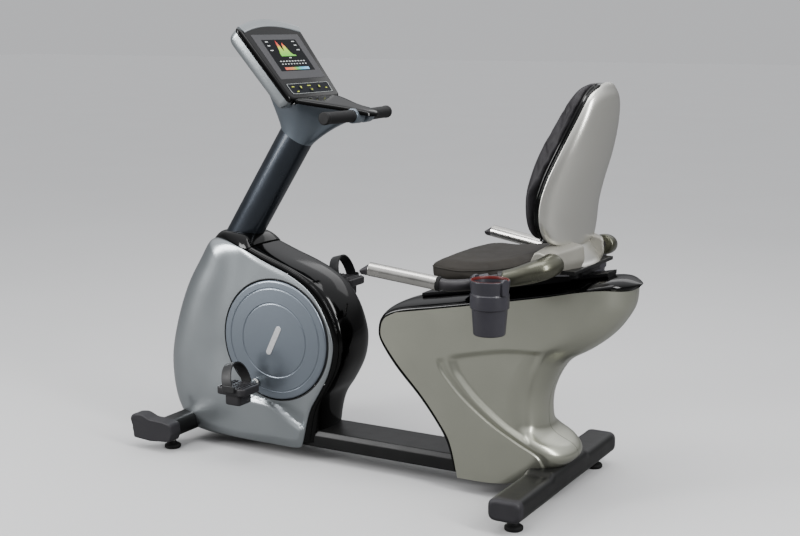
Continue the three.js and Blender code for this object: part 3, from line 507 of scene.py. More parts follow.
band = np.stack([np.vstack([strap_ring(x, 49.0, 66.0), strap_ring(x, 45.4, 62.4)[::-1]])
                 for x in (-17, -15.8, 15.8, 17)])
band[[0, 3]] = band[[0, 3]] * 0.996 + band[[0, 3]].mean(1, keepdims=True) * 0.004
columns = band.shape[1]
band = (band.reshape(-1, 3), np.vstack([grid_faces(4, columns, wrap_columns=True),
                                        ladder(0, columns // 2)[:, ::-1], ladder(3 * columns, columns // 2)]))
buckle = prism(rectangle(-21, 21, 2, 22, 5), PEDAL_MIDDLE + 46.5, PEDAL_MIDDLE + 53.5, rounding=1.5)
platform = prism(rectangle(-50, 50, 150, 238, 16, 8), -9, 14, axis=2, rounding=4)
block = prism(rectangle(-27, 27, 162, 226, 10, 8), -42, -6, axis=2, rounding=5)
ribs = [prism(rectangle(x - 2.2, x + 2.2, 156, 232, 2), 11, 16.5, axis=2, rounding=1.5)
        for x in (-38, -27, 27, 38)]
studs = [prism(rectangle(x - 6, x + 6, y - 6, y + 6, 2), 11, 15.5, axis=2, rounding=1.2)
         for x in (-10, 10) for y in (168, 186, 204, 222)]
disc = turned(disc_profile, 240, place=CRANK)
name_plate = prism(stadium(98, 18), 102.6, 105.6, rounding=0.9)
at_pin = (CRANK_LENGTH, 0, 0)
arm_parts = (
    moved(prism(stadium(CRANK_LENGTH + 38, 38), 73, 86, rounding=3), (CRANK_LENGTH / 2, 0, 0)),
    soft_turned([(0, 80), (7, 80), (7, 234), (5.5, 236), (0, 236)], 0.6, place=at_pin),
    soft_turned([(0, 104), (13, 104), (13, 110), (10, 112), (10, 131), (12.5, 133), (12.5, 146), (0, 146)], 1.5,
                place=at_pin))
for side, sign in SIDES:
    heading = math.atan2(*(PIN[side] - CRANK)[[2, 0]])
    fit(f"crank_disc_cover_{side}", [disc], disc_paint, "crank", "disc_paint", f"crank_disc_{side}",
        crease=60, sign=sign)
    fit(f"crank_disc_plate_{side}", [turn(name_plate, heading, CRANK)], plate_metal, "crank", "disc_paint",
        sign=sign)
    fit(f"crank_arm_forging_{side}", [turn(part, heading, CRANK) for part in arm_parts], ground_steel,
        "crank", "steel", f"crank_arm_{side}", sign=sign)
    pin = PIN[side] * (1, 0, 1)
    fit(f"pedal_body_{side}", [moved(part, pin) for part in (platform, block, *ribs, *studs)], pedal_nylon,
        f"pedal_{side}", "grey_plastic", f"pedal_{side}", sign=sign)
    fit(f"pedal_strap_band_{side}", [turn(band, STRAP_LEAN, pin), moved(buckle, pin)], strap_rubber,
        f"pedal_{side}", "rubber", f"pedal_strap_{side}", sign=sign)
# ---------------------------------------------------------------- front shroud
# Two injection moulded halves with a silver metallic lacquer meet at the nose. Each rolls over at its
# edge, has a shallow valley between the nose and the disc, and flares into a skirt at the bottom.

SHROUD_HALF, SPINE_HALF, COVER_WALL = 94.0, 88.0, 3.5
# Silver flakes under clear lacquer: a broad bright sheen that falls to mid grey where the skin turns away.
silver_lacquer = surface("silver_metallic_lacquer_on_abs", "#a3a9ac", 0.3, blotch=120, tint=0.03, wear=0.012,
                         metallic=0.85, grain=9, height=0.004, coat_weight=0.5, coat_roughness=0.12)
# A polished mould leaves deep black with sharp, thin highlights.
black_gloss = surface("piano_black_moulded_abs", "#030303", 0.1, blotch=70, tint=0.2, wear=0.03, grain=3,
                      height=0.002, specular_ior_level=0.28)
# The seal is a soft black line.
seal_rubber = surface("extruded_black_seal", "#0d0d0e", 0.45, blotch=20, tint=0.1)


def through(knots, count, endless=False):
    """Points of a Catmull-Rom curve: a cubic between two knots. Its slope at each is half the chord across."""
    knots = np.asarray(knots, float)
    n = len(knots)
    if endless:
        t = np.arange(count) * n / count
        held = np.vstack([knots[-1:], knots, knots[:2]])
    else:
        t = np.linspace(0, n - 1, count)
        held = np.vstack([2 * knots[:1] - knots[1:2], knots, 2 * knots[-1:] - knots[-2:-1]])
    i = np.minimum(t.astype(int), n - 1 if endless else n - 2)
    u = (t - i)[:, None]
    a, b, c, d = held[i], held[i + 1], held[i + 2], held[i + 3]
    return b + u * (c - a) / 2 + u ** 2 * (a - 2.5 * b + 2 * c - d / 2) + u ** 3 * (1.5 * (b - c) + (d - a) / 2)


def eased(curve, passes, endless=False):
    """The curve with each point moved to the mean of itself and its neighbours, passes times."""
    for _ in range(passes):
        near = np.roll(curve, 1, 0) + np.roll(curve, -1, 0)
        moved = curve / 2 + near / 4
        curve = moved if endless else np.vstack([curve[:1], moved[1:-1], curve[-1:]])
    return curve


def skin(outer, wall, away, wrap=False):
    """A wall behind a grid of points: the inner grid is wall millimetres down the normals, which are the cross
    product of the grid's two directions, turned to face away. Rims join the two grids."""
    rows, columns = outer.shape[:2]
    down = np.roll(outer, -1, 0) - np.roll(outer, 1, 0) if wrap else np.gradient(outer, axis=0)
    normal = np.cross(down, np.gradient(outer, axis=1))
    normal /= np.maximum(np.linalg.norm(normal, axis=2, keepdims=True), 1e-9)
    facing = (normal * np.asarray(away, float)).sum(2).mean()
    inner = outer - normal * (wall if facing > 0 else -wall)
    faces = grid_faces(rows, columns, wrap_rows=wrap)
    r = np.arange(rows if wrap else rows - 1)
    after = (r + 1) % rows
    total = rows * columns
    here, below = r * columns, after * columns
    rims = [np.stack([below + c, here + c, total + here + c, total + below + c], 1)[:, ::1 if c else -1]
            for c in (0, columns - 1)]
    if not wrap:
        c = np.arange(columns - 1)
        last = (rows - 1) * columns
        rims += [np.stack([c + 1, c, total + c, total + c + 1], 1)[:, ::-1 if k else 1] + k * last
                 for k in (0, 1)]
    return np.vstack([outer.reshape(-1, 3), inner.reshape(-1, 3)]), np.vstack([
        faces, faces[:, ::-1] + total, *rims])


# The edge of each half: x, z and how far it lies from the middle.
shroud_edge = eased(through([
    (-415, 622, 86), (-347, 594, 88), (-269, 566, 88), (-208, 532, 88), (-168, 493, 88), (-138, 443, 88),
    (-119, 393, 88), (-114, 350, 88), (-130, 282, 88), (-162, 220, 88), (-193, 167, 88), (-209, 114, 88),
    (-222, 60, 88), (-240, 40, 88), (-330, 38, 88), (-473, 36, 80), (-590, 36, 60), (-660, 44, 28),
    (-706, 85, 3), (-730, 139, 1), (-741, 214, 1), (-738, 290, 1), (-712, 397, 1), (-670, 504, 1),
    (-618, 590, 1), (-590, 632, 4), (-562, 645, 30), (-505, 645, 62), (-455, 634, 80),
], 320, endless=True), 5, endless=True)
crease_line = through([(-560, 190), (-420, 178), (-330, 168), (-262, 128), (-205, 100)], 60)
VALLEY_DEPTH, VALLEY_WIDTH = 8, 58


def shroud_side():
    """Rays from the crank out to the edge. The face stands SHROUD_HALF from the middle and rolls down to the
    edge as a superellipse. A bell-shaped valley runs down the front, and below the crease it flares."""
    out = shroud_edge[:, :2] - CRANK[[0, 2]]
    reach = np.linalg.norm(out, axis=1)
    out /= reach[:, None]
    lip = np.maximum(shroud_edge[:, 2], 0.6)
    roll = eased(20 + (90 - lip[:, None]) * 1.15, 160, endless=True)[:, 0]
    share = 1 - (1 - np.linspace(0, 1, 64)) ** 1.8
    far = DISC_HOLE + (reach - DISC_HOLE)[:, None] * share
    close = np.maximum(0, 1 - (reach[:, None] - far) / roll[:, None])
    crown = (1 - close ** 2.6) ** (1 / 2.6)
    x = CRANK[0] + out[:, :1] * far
    z = CRANK[2] + out[:, 1:] * far
    y = lip[:, None] + (SHROUD_HALF - lip)[:, None] * crown
    valley_x = -520 + 50 * step(z, 380, 620)
    valley = VALLEY_DEPTH * np.exp(-((x - valley_x) / VALLEY_WIDTH) ** 2) * step(z, 150, 330)
    line = np.interp(x, crease_line[:, 0], crease_line[:, 1])
    below = line - z
    flare = 5 * step(below, 0, 16) - 7 * step(below, -56, 0) * step(-below, -1, 1)
    flare *= step(x, -520, -380) * step(reach[:, None] - far, 0, 30)
    y = y - valley * crown + flare * crown * step(far, DISC_HOLE, DISC_HOLE + 20)
    return np.stack([x, y, z], 2)


def turned_ring(profile, sides, axis, place):
    """A ring of revolution: a closed outline of (radius, distance) pairs carried round an axis."""
    profile = np.asarray(profile, float)
    return carried_round(profile, sides, axis) + place, grid_faces(len(profile), sides, True, True)


pair("front_shroud_half", [skin(shroud_side(), COVER_WALL, (0, 1, 0), wrap=True)], silver_lacquer,
     "frame", "silver_paint", "front_shroud", crease=50)
seal_outline = [(186.5, 70), (186.5, 93.5), (185.8, 94.6), (184.6, 95), (183.2, 94.6), (182.4, 93.5),
                (182.4, 70)]
pair("disc_seal", [turned_ring(seal_outline, 200, 1, CRANK)], seal_rubber, "frame", "black_gloss")

# ---------------------------------------------------------------- spine and mast collar
# The spine is one piano black moulding that closes the gap between the silver halves over the top and
# down the back. The collar is its front end, drawn up round the foot of the mast.

spine_edge = [(-413, 624), (-346, 596), (-268, 568), (-206, 534), (-166, 494), (-136, 444), (-117, 394),
              (-112, 350), (-128, 281), (-160, 219), (-191, 166), (-207, 114), (-220, 60)]
spine_crest = [(-400, 640), (-335, 618), (-262, 594), (-195, 567), (-148, 536), (-110, 487), (-88, 434),
               (-76, 375), (-84, 312), (-118, 245), (-148, 203), (-164, 155), (-176, 60)]


def squared(value, power):
    """A cosine or sine drawn out so that the two together trace a superellipse of that power."""
    return np.sign(value) * np.abs(value) ** (2 / power)


def bridge(edge, crest, half, rows, columns, taper=None, groove=2.2):
    """A strip arched between two edges: at each row a superellipse of power 2.4 rises from the edge to the
    crest. A fine groove runs 16 mm inside each edge. Taper scales the width along the strip."""
    low = eased(through(edge, rows), 4)
    high = eased(through(crest, rows), 4)
    width = half * (np.ones(rows) if taper is None else taper(np.linspace(0, 1, rows)))
    angle = np.linspace(-math.pi / 2, math.pi / 2, columns)
    spread, lift = squared(np.sin(angle), 2.4), squared(np.cos(angle), 2.4)
    steps = np.abs(np.diff(np.stack([spread * half, lift * 30], 1), axis=0))
    reach = np.concatenate([[0], np.linalg.norm(np.cumsum(steps, 0), axis=1)])
    lift = lift - groove / 30 * np.exp(-((np.minimum(reach, reach[::-1]) - 16) / 2.2) ** 2)
    points = low[:, None] + (high - low)[:, None] * lift[None, :, None]
    return np.insert(points, 1, width[:, None] * spread, axis=2)


SPINE_WALL = 3
fit("front_spine_moulding", [skin(bridge(spine_edge, spine_crest, SPINE_HALF, 170, 72), SPINE_WALL, (1, 0, 1))],
    black_gloss, "frame", "black_gloss", "front_shroud_spine", crease=50)

MAST_FOOT, MAST_TOP = np.array([-556.0, 0, 548.0]), np.array([-292.0, 0, 958.0])
MAST_SEMI = (52.0, 45.0)
mast_length = np.linalg.norm(MAST_TOP - MAST_FOOT)
mast_lean = (MAST_TOP - MAST_FOOT) / mast_length
mast_side = np.array([mast_lean[2], 0, -mast_lean[0]])


def mast_ring(distance, gap=0.0, count=96, power=2.25):
    """The mast's section at a distance up it: a superellipse across the lean, grown by gap."""
    angle = full_turn(count)
    fore = squared(np.cos(angle), power) * (MAST_SEMI[0] + gap)
    beside = squared(np.sin(angle), power) * (MAST_SEMI[1] + gap)
    return MAST_FOOT + mast_lean * distance + fore[:, None] * mast_side + beside[:, None] * np.array([0, 1, 0])


def resampled(loop, angle, count):
    """The points of a closed loop at count equal steps of an angle that is known at each of its own points."""
    angle = angle % (2 * math.pi)
    order = np.argsort(angle)
    turns = np.append(angle[order], 2 * math.pi + angle[order[0]])
    closed = loop[np.append(order, order[0])]
    return np.stack([np.interp(full_turn(count), turns, column) for column in closed.T], 1)


def collar_foot(count=96):
    """The collar's lower edge: along the silver halves' top edge, and behind across the spine's start."""
    half = np.array([(-594, 0, 636), (-585, 14, 640), (-562, 32, 648), (-505, 64, 648), (-455, 82, 637),
                     (-425, 87, 628), (-409, 84, 633), (-401, 60, 640), (-398, 30, 642), (-397, 0, 643)])
    loop = through(np.vstack([half[::-1], half[1:-1] * MIRROR]), 720, endless=True)
    return resampled(loop, np.arctan2(loop[:, 1] / 82, (loop[:, 0] + 491.6) / 98), count)


# Metallic enamel: nearly black, with a blue grey streak of light down each side of the mast.
mast_paint = surface("dark_blue_metallic_enamel", "#343940", 0.3, blotch=140, tint=0.05, metallic=0.75,
                     coat_weight=0.2, coat_roughness=0.1)
fit("mast_tube", [tube([mast_ring(d) for d in np.linspace(0, mast_length + 20, 24)])], mast_paint,
    "frame", "mast_paint", "mast", crease=60)
COLLAR_SHARE, COLLAR_TOP = 0.245, 669
foot, head = collar_foot(), mast_ring(mast_length * COLLAR_SHARE, gap=6.5)
head[:, 2] = COLLAR_TOP + (head[:, 0] + 491) * 0.03
lip = mast_ring(mast_length * COLLAR_SHARE, gap=0.6)
lip[:, 2] = head[:, 2]
rows = []
for t in np.linspace(0, 1, 26):
    ring = foot * (1 - t) + head * t
    ring[:, 2] = foot[:, 2] + (head[:, 2] - foot[:, 2]) * (1 - (1 - t) ** 2.2)
    rows.append(ring)
rows += [head * 0.55 + lip * 0.45 + (0, 0, 1.6), lip, lip - (0, 0, 30), foot * 0.8 + lip * 0.2 - (0, 0, 26)]
fit("mast_collar_moulding", [(np.array(rows), grid_faces(len(rows), 96, True, True))], black_gloss,
    "frame", "black_gloss", "mast_collar", crease=55)

# ---------------------------------------------------------------- console
# A hollow silver lacquered back closes on a piano black bezel. The bezel holds a grey surround with the
# colour display behind a window, and a keypad membrane. A pale silver arch caps the top of the face.

PANEL_ORIGIN = np.array([-216.0, 0, 1077.0])
panel_angle = math.radians(51)
panel_up = np.array([-math.cos(panel_angle), 0, math.sin(panel_angle)])
panel_out = np.array([math.sin(panel_angle), 0, math.cos(panel_angle)])
# Flat moulded grey frames the window. Printed film is a thin dark sheen, and its inks are flat and matt.
surround_paint = surface("grey_screen_surround", "#4b4b4d", 0.5, blotch=50, tint=0.04, grain=0.8, height=0.01,
                         specular_ior_level=0.05)
membrane_print = surface("printed_navy_membrane", "#0b0e15", 0.3, blotch=30, tint=0.1, specular_ior_level=0.05)
light_print = surface("pale_grey_print", "#c2c6c4", 0.5, blotch=20, tint=0.05)
lime_print = surface("lime_yellow_print", "#c6cf3a", 0.5, blotch=20, tint=0.05)


def on_panel(across_up, out):
    """Points (across, up the face) at a height out of the console's face."""
    across_up = np.asarray(across_up, float)
    return (PANEL_ORIGIN + across_up[..., 1:] * panel_up + across_up[..., :1] * np.array([0, 1, 0])
            + np.asarray(out, float)[..., None] * panel_out)


def panel_loft(outlines, heights):
    """A closed solid through outlines on the face at their heights out of it."""
    return tube([on_panel(outline, np.full(len(outline), h)) for outline, h in zip(outlines, heights)])


def panel_plate(outline, low, high):
    """A flat plate on the face between two heights out of it."""
    return panel_loft([outline] * 2, (low, high))


def panel_outline(inset, arch=28.0):
    """The console's face: straight sides that widen upwards, round lower corners and an arched top."""
    foot, head = 134 - inset, 166 - inset
    across = np.linspace(1, -1, 25)
    top = np.stack([across * (head - 10 * np.abs(across) ** 9), 262 - inset + arch * (1 - across ** 2)
                    - 6 * np.abs(across) ** 14], 1)
    corners = np.vstack([[(-foot, inset), (foot, inset)], top])
    radii = np.concatenate([[16, 16, 9], np.full(23, 3.0), [9]])
    return fillet(corners, radii, 6)


bezel_insets = (6, 2.4, 0.6, 0, 0, 0.8, 2.6, 5.5, 9)
bezel_heights = (-18, -17, -15, -12.5, -9, -5, -2.4, -0.8, 0)
fit("console_bezel_moulding", [panel_loft([panel_outline(k) for k in bezel_insets], bezel_heights)],
    black_gloss, "frame", "black_gloss", "console_bezel", crease=60)

back_depths = np.linspace(0, 1, 14)
back_insets = 1.5 + 27 * back_depths ** 3.2
back_heights = -16.5 - 42 * np.sin(back_depths * math.pi / 2) ** 1.1
back_outlines = [panel_outline(inset, 28 - 7 * depth) for inset, depth in zip(
    np.append(back_insets, 44), np.append(back_depths, 1))]
fit("console_back_shell", [panel_loft(back_outlines, np.append(back_heights, -60))], silver_lacquer,
    "frame", "silver_paint", "console_back", crease=60)
# The speaker slots are not cut through the back: thin black plates on its rear face stand for them, painted
# shade where the openings look dark.
slot_points, slot_faces = prism(stadium(46, 3.4), 0, 1.2, axis=2)
slots = [(on_panel(slot_points[:, :2] + (half * 52, 96 + row * 11), slot_points[:, 2] - 60.8), slot_faces)
         for row in range(5) for half in (-1, 1)]
fit("console_speaker_slot_painted_shade", slots, seal_rubber, "frame", "black_gloss")

ARCH_STEPS = 49
across = np.linspace(-1, 1, ARCH_STEPS)
arch_out = np.stack([across * 155, 262 + 26.5 * (1 - across ** 2)], 1)
arch_in = np.stack([across * 143, 238.5 + 22 * (1 - across ** 2)], 1)
arch_line = np.vstack([arch_out, arch_in[::-1]])
arch_middle = (np.vstack([arch_out, arch_out[::-1]]) + np.vstack([arch_in, arch_in[::-1]])) / 2
arch_rings = [arch_middle + (arch_line - arch_middle) * (1 - k / 12) for k in (0, 0, 0.8, 2.4, 5)]
arch_points = np.vstack([on_panel(r, np.full(len(r), h)) for r, h in zip(arch_rings, (-6, 0.6, 1.6, 2.3, 2.8))])
fit("console_silver_arch", [(arch_points, np.vstack([
    grid_faces(5, 2 * ARCH_STEPS, wrap_columns=True), ladder(0, ARCH_STEPS)[:, ::-1],
    ladder(8 * ARCH_STEPS, ARCH_STEPS)]))], silver_lacquer, "frame", "silver_paint", crease=50)

trapezium = fillet([(-117, 71.5), (117, 71.5), (121.5, 232), (-121.5, 232)], 4)
fit("display_surround", [panel_loft([trapezium, trapezium, trapezium * 0.985 + (0, 2.2)], (-9, 0.4, 1.0))],
    surround_paint, "frame", "display_glass", "display")
# The window is smoked acrylic: black, and so smooth that only a faint reflection shows.
window_glass = surface("black_display_window", "#04060a", 0.08, blotch=60, tint=0.2, wear=0.02, height=0.0005,
                       specular_ior_level=0.08)
fit("display_window", [panel_plate(rectangle(-88, 88, 99.5, 212.5, 1.5), -2, 1.3)], window_glass,
    "frame", "display_glass")

def lit(name, stops, direction, start, length):
    """A glowing print whose colour runs through stops along direction, from start over length millimetres."""
    made = bpy.data.materials.new(name)
    made.use_nodes = True
    tree = made.node_tree
    place = add_node(tree, "ShaderNodeTexCoord").outputs["Object"]
    dot = add_node(tree, "ShaderNodeVectorMath", {0: place, 1: tuple(direction)}, operation="DOT_PRODUCT")
    origin = float(np.dot((PANEL_ORIGIN + SHIFT) / 1000, direction)) + start / 1000
    share = add_node(tree, "ShaderNodeMapRange", {
        "Value": dot.outputs["Value"], "From Min": origin, "From Max": origin + length / 1000})
    ramp = add_node(tree, "ShaderNodeValToRGB", {"Fac": share.outputs["Result"]})
    for element in list(ramp.color_ramp.elements)[1:]:
        ramp.color_ramp.elements.remove(element)
    ramp.color_ramp.elements[0].position = stops[0][0]
    ramp.color_ramp.elements[0].color = linear(stops[0][1])
    for position, colour in stops[1:]:
        ramp.color_ramp.elements.new(position).color = linear(colour)
    shader = tree.nodes["Principled BSDF"]
    tree.links.new(ramp.outputs["Color"], shader.inputs["Base Color"])
    tree.links.new(ramp.outputs["Color"], shader.inputs["Emission Color"])
    shader.inputs["Emission Strength"].default_value = 0.25
    shader.inputs["Roughness"].default_value = 0.3
    return made


hills = lit("lit_graph_colours", [(0.0, "#4fae2c"), (0.5, "#8fc22e"), (0.68, "#c4b52c"), (0.8, "#cf5a22"),
                                  (1.0, "#c5231c")], panel_up, 150, 52)
strip = lit("lit_bar_colours", [(0.0, "#c8412f"), (0.3, "#c1702c"), (0.5, "#4da63d"), (0.72, "#4aa0c4"),
                                (1.0, "#7fb6d8")], (0, 1, 0), -62, 124)
# The graph is two bell-shaped hills with a ripple, standing on a straight foot.
HILL_STEPS = 60
t = np.linspace(0, 1, HILL_STEPS)
peaks = np.maximum(np.exp(-((t - 0.22) / 0.12) ** 2), 0.88 * np.exp(-((t - 0.56) / 0.15) ** 2))
hill_top = 156 + 47 * peaks * (1 + 0.05 * np.sin(t * 90)) + 6 * (1 - t)
hill_line = np.vstack([np.stack([-38 + 76 * t, hill_top], 1),
                       np.stack([38 - 76 * t, np.full(HILL_STEPS, 152.0)], 1)])
points = np.vstack([on_panel(hill_line, np.full(len(hill_line), h)) for h in (1.0, 1.55)])
faces = np.vstack([grid_faces(2, 2 * HILL_STEPS, wrap_columns=True),
                   ladder(0, HILL_STEPS)[:, [1, 0, 3, 2]], ladder(2 * HILL_STEPS, HILL_STEPS)])
fit("display_graph", [(points, faces)], hills, "frame", "display_glass")
fit("display_colour_bar", [panel_plate(rectangle(-62, 62, 103, 112, 1), 1.0, 1.55)], strip,
    "frame", "display_glass")
marks = []
for u, count, width in ((205, 2, 15), (191, 2, 13), (174, 2, 15), (146, 1, 12), (134, 9, 9), (124, 9, 7)):
    spread = {1: 0, 2: 68, 9: 60}[count]
    for x in np.linspace(-spread, spread, count):
        marks.append(panel_plate(rectangle(x - width / 2, x + width / 2, u - 1.6, u + 1.6, 0.8), 1.0, 1.5))
fit("display_marks", marks, light_print, "frame", "display_glass")

membrane_outline = fillet([(-108, 18), (108, 18), (112, 56), (-112, 56)], 7)
fit("keypad_membrane", [panel_plate(membrane_outline, -1.5, 0.45)], membrane_print, "frame", "keys")
ring_in, ring_out = membrane_outline * (0.962, 0.90) + (0, 3.7), membrane_outline * (0.975, 0.935) + (0, 2.4)
frame_rings = [on_panel(o, np.full(len(o), h)) for o, h in (
    (ring_out, 0.3), (ring_out, 0.7), (ring_in, 0.7), (ring_in, 0.3))]
fit("keypad_outline", [(np.vstack(frame_rings), grid_faces(4, len(ring_in), True, True))], light_print,
    "frame", "keys")
# Silicone keys are dull and a little green in the light.
key_rubber = surface("silicone_key", "#151913", 0.45, blotch=10, tint=0.1, grain=0.5, height=0.01,
                     specular_ior_level=0.2)
triangle = np.array([(-4.2, -3.2), (4.2, -3.2), (0, 4.6)])
for name, x, u, radius, mark in (("down", -48, 40, 7, triangle * (1, -1)), ("up", 48, 40, 7, triangle),
                                 ("start", 0, 30, 9, stadium(9, 3.4))):
    ring = stadium(radius * 2 + 0.01, radius * 2, 20)
    cap = panel_loft([ring * k + (x, u) for k in (1, 1, 0.93, 0.8, 0.4)], (-6, 1.4, 2.1, 2.4, 2.5))
    fit(f"key_{name}_cap", [cap], key_rubber, f"key_{name}", "keys", f"key_{name}")
    fit(f"key_{name}_mark", [panel_plate(fillet(mark, 0.8) + (x, u), 2.1, 2.75)], lime_print,
        f"key_{name}", "keys")
fit("keypad_marks", [panel_plate(rectangle(x - w / 2, x + w / 2, u - 1.3, u + 1.3, 0.8), 0.3, 0.85)
                     for x, u, w in ((-84, 44, 12), (-72, 27, 10), (0, 45, 16), (84, 34, 8))],
    lime_print, "frame", "keys")

# ---------------------------------------------------------------- neck and handlebar
# The neck is a painted moulding that flares from the mast like a trumpet, out to the console's foot and
# back into a beak that holds the short handlebar. A gloss black cover lies on top of the beak.

# A thinner metallic paint than the covers', with a steel blue cast and a softer sheen.
neck_paint = surface("steel_grey_paint_on_abs", "#727b84", 0.34, blotch=110, tint=0.04, metallic=0.7,
                     coat_weight=0.2, coat_roughness=0.15)
# Moulded grips are matt black, so their highlights are wide and faint.
grip_foam = surface("moulded_grip_rubber", "#141415", 0.6, blotch=18, tint=0.12, grain=0.9, height=0.06,
                    specular_ior_level=0.3)


def beak_outline(count=96, inset=0.0):
    """The neck's upper edge from above: wide at the console's foot, narrowing in an S curve to a round tip."""
    half = [(-366, 0), (-364, 36), (-350, 60), (-310, 80), (-256, 104), (-212, 112), (-170, 93), (-130, 67),
            (-92, 47), (-55, 40), (-30, 30), (-21, 13), (-20, 0)]
    loop = through(np.vstack([half, np.array(half)[-2:0:-1] * (1, -1)]), 480, endless=True)
    loop = eased(loop, 6, endless=True)
    loop = loop - inset * unit(loop - (-200, 0))
    return resampled(loop, np.arctan2(loop[:, 1], loop[:, 0] + 250), count)


def beak_top(x):
    """Height of the neck's upper edge: under the console it climbs with it, and along the beak it runs down."""
    return np.where(x < -216, 1072 + (-216 - x) * 0.24, 1072 - (x + 216) * 0.185)


low_ring = mast_ring(mast_length + 9, gap=1.2)
edge = beak_outline()
high_ring = np.stack([edge[:, 0], edge[:, 1], beak_top(edge[:, 0])], 1)
climb = 0.58 + 0.24 * np.cos(full_turn(96))
between = low_ring + (high_ring - low_ring) * np.stack([np.full(96, 0.46), np.full(96, 0.16), climb], 1)
t = np.linspace(0, 1, 40)[:, None, None]
neck_rings = (1 - t) ** 2 * low_ring + 2 * t * (1 - t) * between + t ** 2 * high_ring
lip_rings = [high_ring * (0.985, 0.97, 1) + (-3.3, 0, 3), high_ring * (0.95, 0.93, 1) + (-10, 0, 3.5)]
fit("console_neck_moulding", [tube(np.concatenate([neck_rings, lip_rings]))], neck_paint,
    "frame", "neck_plastic", "console_neck", crease=55)
# Each half of the handlebar runs from (x, y) to (x, y) at one height.
BAR, BAR_HEIGHT = ((-70, 30), (-83, 166)), 1032
bar_angle = math.atan2(BAR[0][0] - BAR[1][0], BAR[1][1] - BAR[0][1])


def along_bar(profile):
    """A solid turned about the right half of the handlebar's axis."""
    points, faces = soft_turned(profile, 3.5, sides=72)
    c, s = math.cos(bar_angle), math.sin(bar_angle)
    x = BAR[0][0] + math.tan(bar_angle) * BAR[0][1]
    return np.stack([points[:, 0] * c - points[:, 1] * s + x, points[:, 0] * s + points[:, 1] * c,
                     points[:, 2] + BAR_HEIGHT], 1), faces


pair("handlebar_socket", [along_bar([(0, 8), (21.5, 8), (21.5, 47), (0, 47)])], neck_paint,
     "frame", "neck_plastic")
pair("handlebar_grip_sleeve", [along_bar(
    [(0, 40), (18.6, 40), (18.6, 50), (17.2, 52), (17.2, 160), (18.4, 166), (18.4, 177), (0, 177)])],
    grip_foam, "frame", "rubber", "handlebar_grip")
BEAK_COVER_START, BEAK_COVER_FOLD = -234, -214
beak_edge = beak_outline(inset=-1.5)
beak_edge[:, 0] = np.maximum(beak_edge[:, 0], BEAK_COVER_START)
beak_rings = []
for k, h in ((0.0, -5), (0.0, 3.2), (0.012, 5.5), (0.04, 7.5), (0.12, 9.5), (0.3, 11)):
    x, y = beak_edge[:, 0] * (1 - k) - 160 * k, beak_edge[:, 1] * (1 - k)
    beak_rings.append(np.stack([x, y, beak_top(x) + h - np.maximum(0, (BEAK_COVER_FOLD - x) * 0.5)], 1))
fit("beak_top_cover", [tube(beak_rings)], black_gloss, "frame", "black_gloss", crease=60)

# ---------------------------------------------------------------- rear pedestal
# Two moulded halves in champagne metallic lacquer, each with a three-sided recess, a column behind it,
# a bowl at the top and a flared toe. A piano black cover runs up the front and over the slide.

PEDESTAL_HALF = 108.0
# Champagne flakes under clear lacquer: the same broad sheen as the silver's, in a warmer, greener grey.
champagne_lacquer = surface("champagne_metallic_lacquer_on_abs", "#afb0a2", 0.3, blotch=120, tint=0.03,
                            wear=0.012, metallic=0.85, grain=9, height=0.004, coat_weight=0.5,
                            coat_roughness=0.12)
front_edge = [(303, 44), (279, 139), (245, 196), (189, 266), (114, 344), (67, 405), (57, 436), (68, 472),
              (105, 494)]
top_edge = [(105, 494), (225, 516), (336, 537), (462, 562), (555, 581), (650, 603), (715, 612), (768, 606)]
rear_edge = [(512, 60), (560, 84), (604, 112), (618, 136), (600, 160), (560, 178), (537, 196), (530, 222),
             (529, 256), (534, 292), (550, 336), (575, 378), (602, 403), (650, 431), (697, 467), (732, 505),
             (762, 556), (768, 606)]
foot_edge = [(303, 44), (400, 46), (512, 60)]
recess_top = [(200, 366), (243, 383), (293, 399), (369, 417), (443, 431), (521, 436), (598, 436), (660, 428)]
recess_diagonal = [(560, 90), (553, 105), (537, 140), (473, 172), (393, 215), (311, 275), (255, 333),
                   (238, 362), (232, 380)]
recess_column = [(523, 150), (519, 189), (516, 244), (518, 318), (528, 369), (547, 410), (560, 440)]


def pedestal_side(rows=210, columns=170):
    """A patch ruled between its four edges. It stands PEDESTAL_HALF from the middle and rolls down to the
    rear edge as a superellipse. The recess is a narrow step, a rising ramp and then a fall to the floor."""
    u = 1 - (1 - np.linspace(0, 1, columns)) ** 1.5
    v = np.linspace(0, 1, rows)[:, None, None]
    front, rear = eased(through(front_edge, rows), 6), eased(through(rear_edge, rows), 6)
    top, foot = through(top_edge, 400), through(foot_edge, 400)
    pick = lambda line: np.stack([np.interp(u * 399, np.arange(400), line[:, k]) for k in (0, 1)], 1)[None]
    mix = lambda a, b: a + (b - a) * u[None, :, None]
    place = (mix(front[:, None], rear[:, None]) + (pick(foot) - mix(front[:1, None], rear[:1, None])) * (1 - v)
             + (pick(top) - mix(front[-1:, None], rear[-1:, None])) * v)
    depth = np.linalg.norm(place - rear[:, None], axis=2)
    close = np.maximum(0, 1 - depth / 95)
    crown = (1 - close ** 2.2) ** (1 / 2.2)
    x, z = place[..., 0], place[..., 1]
    line = through(recess_diagonal, 200)
    inside = (x - np.interp(z, line[:, 1], line[:, 0])) * 0.66
    line = through(recess_top, 200)
    under = np.interp(x, line[:, 0], line[:, 1]) - z
    line = through(recess_column, 200)
    ahead = np.interp(z, line[:, 1], line[:, 0]) - x
    band = (5 * step(inside, 0, 4) - 5.5 * step(inside, 4, 24)) * step(under, 2, 18) * step(x, 590, 540)
    floor_depth = 11 * step(inside, 22, 42) * step(under, 0, 20) * step(ahead, -4, 26)
    return np.stack([x, 0.8 + PEDESTAL_HALF * crown - (band + floor_depth) * crown, z], 2)


pair("pedestal_half", [skin(pedestal_side(), COVER_WALL, (0, 1, 0))], champagne_lacquer, "frame",
     "champagne_paint", "rear_shroud", crease=50)

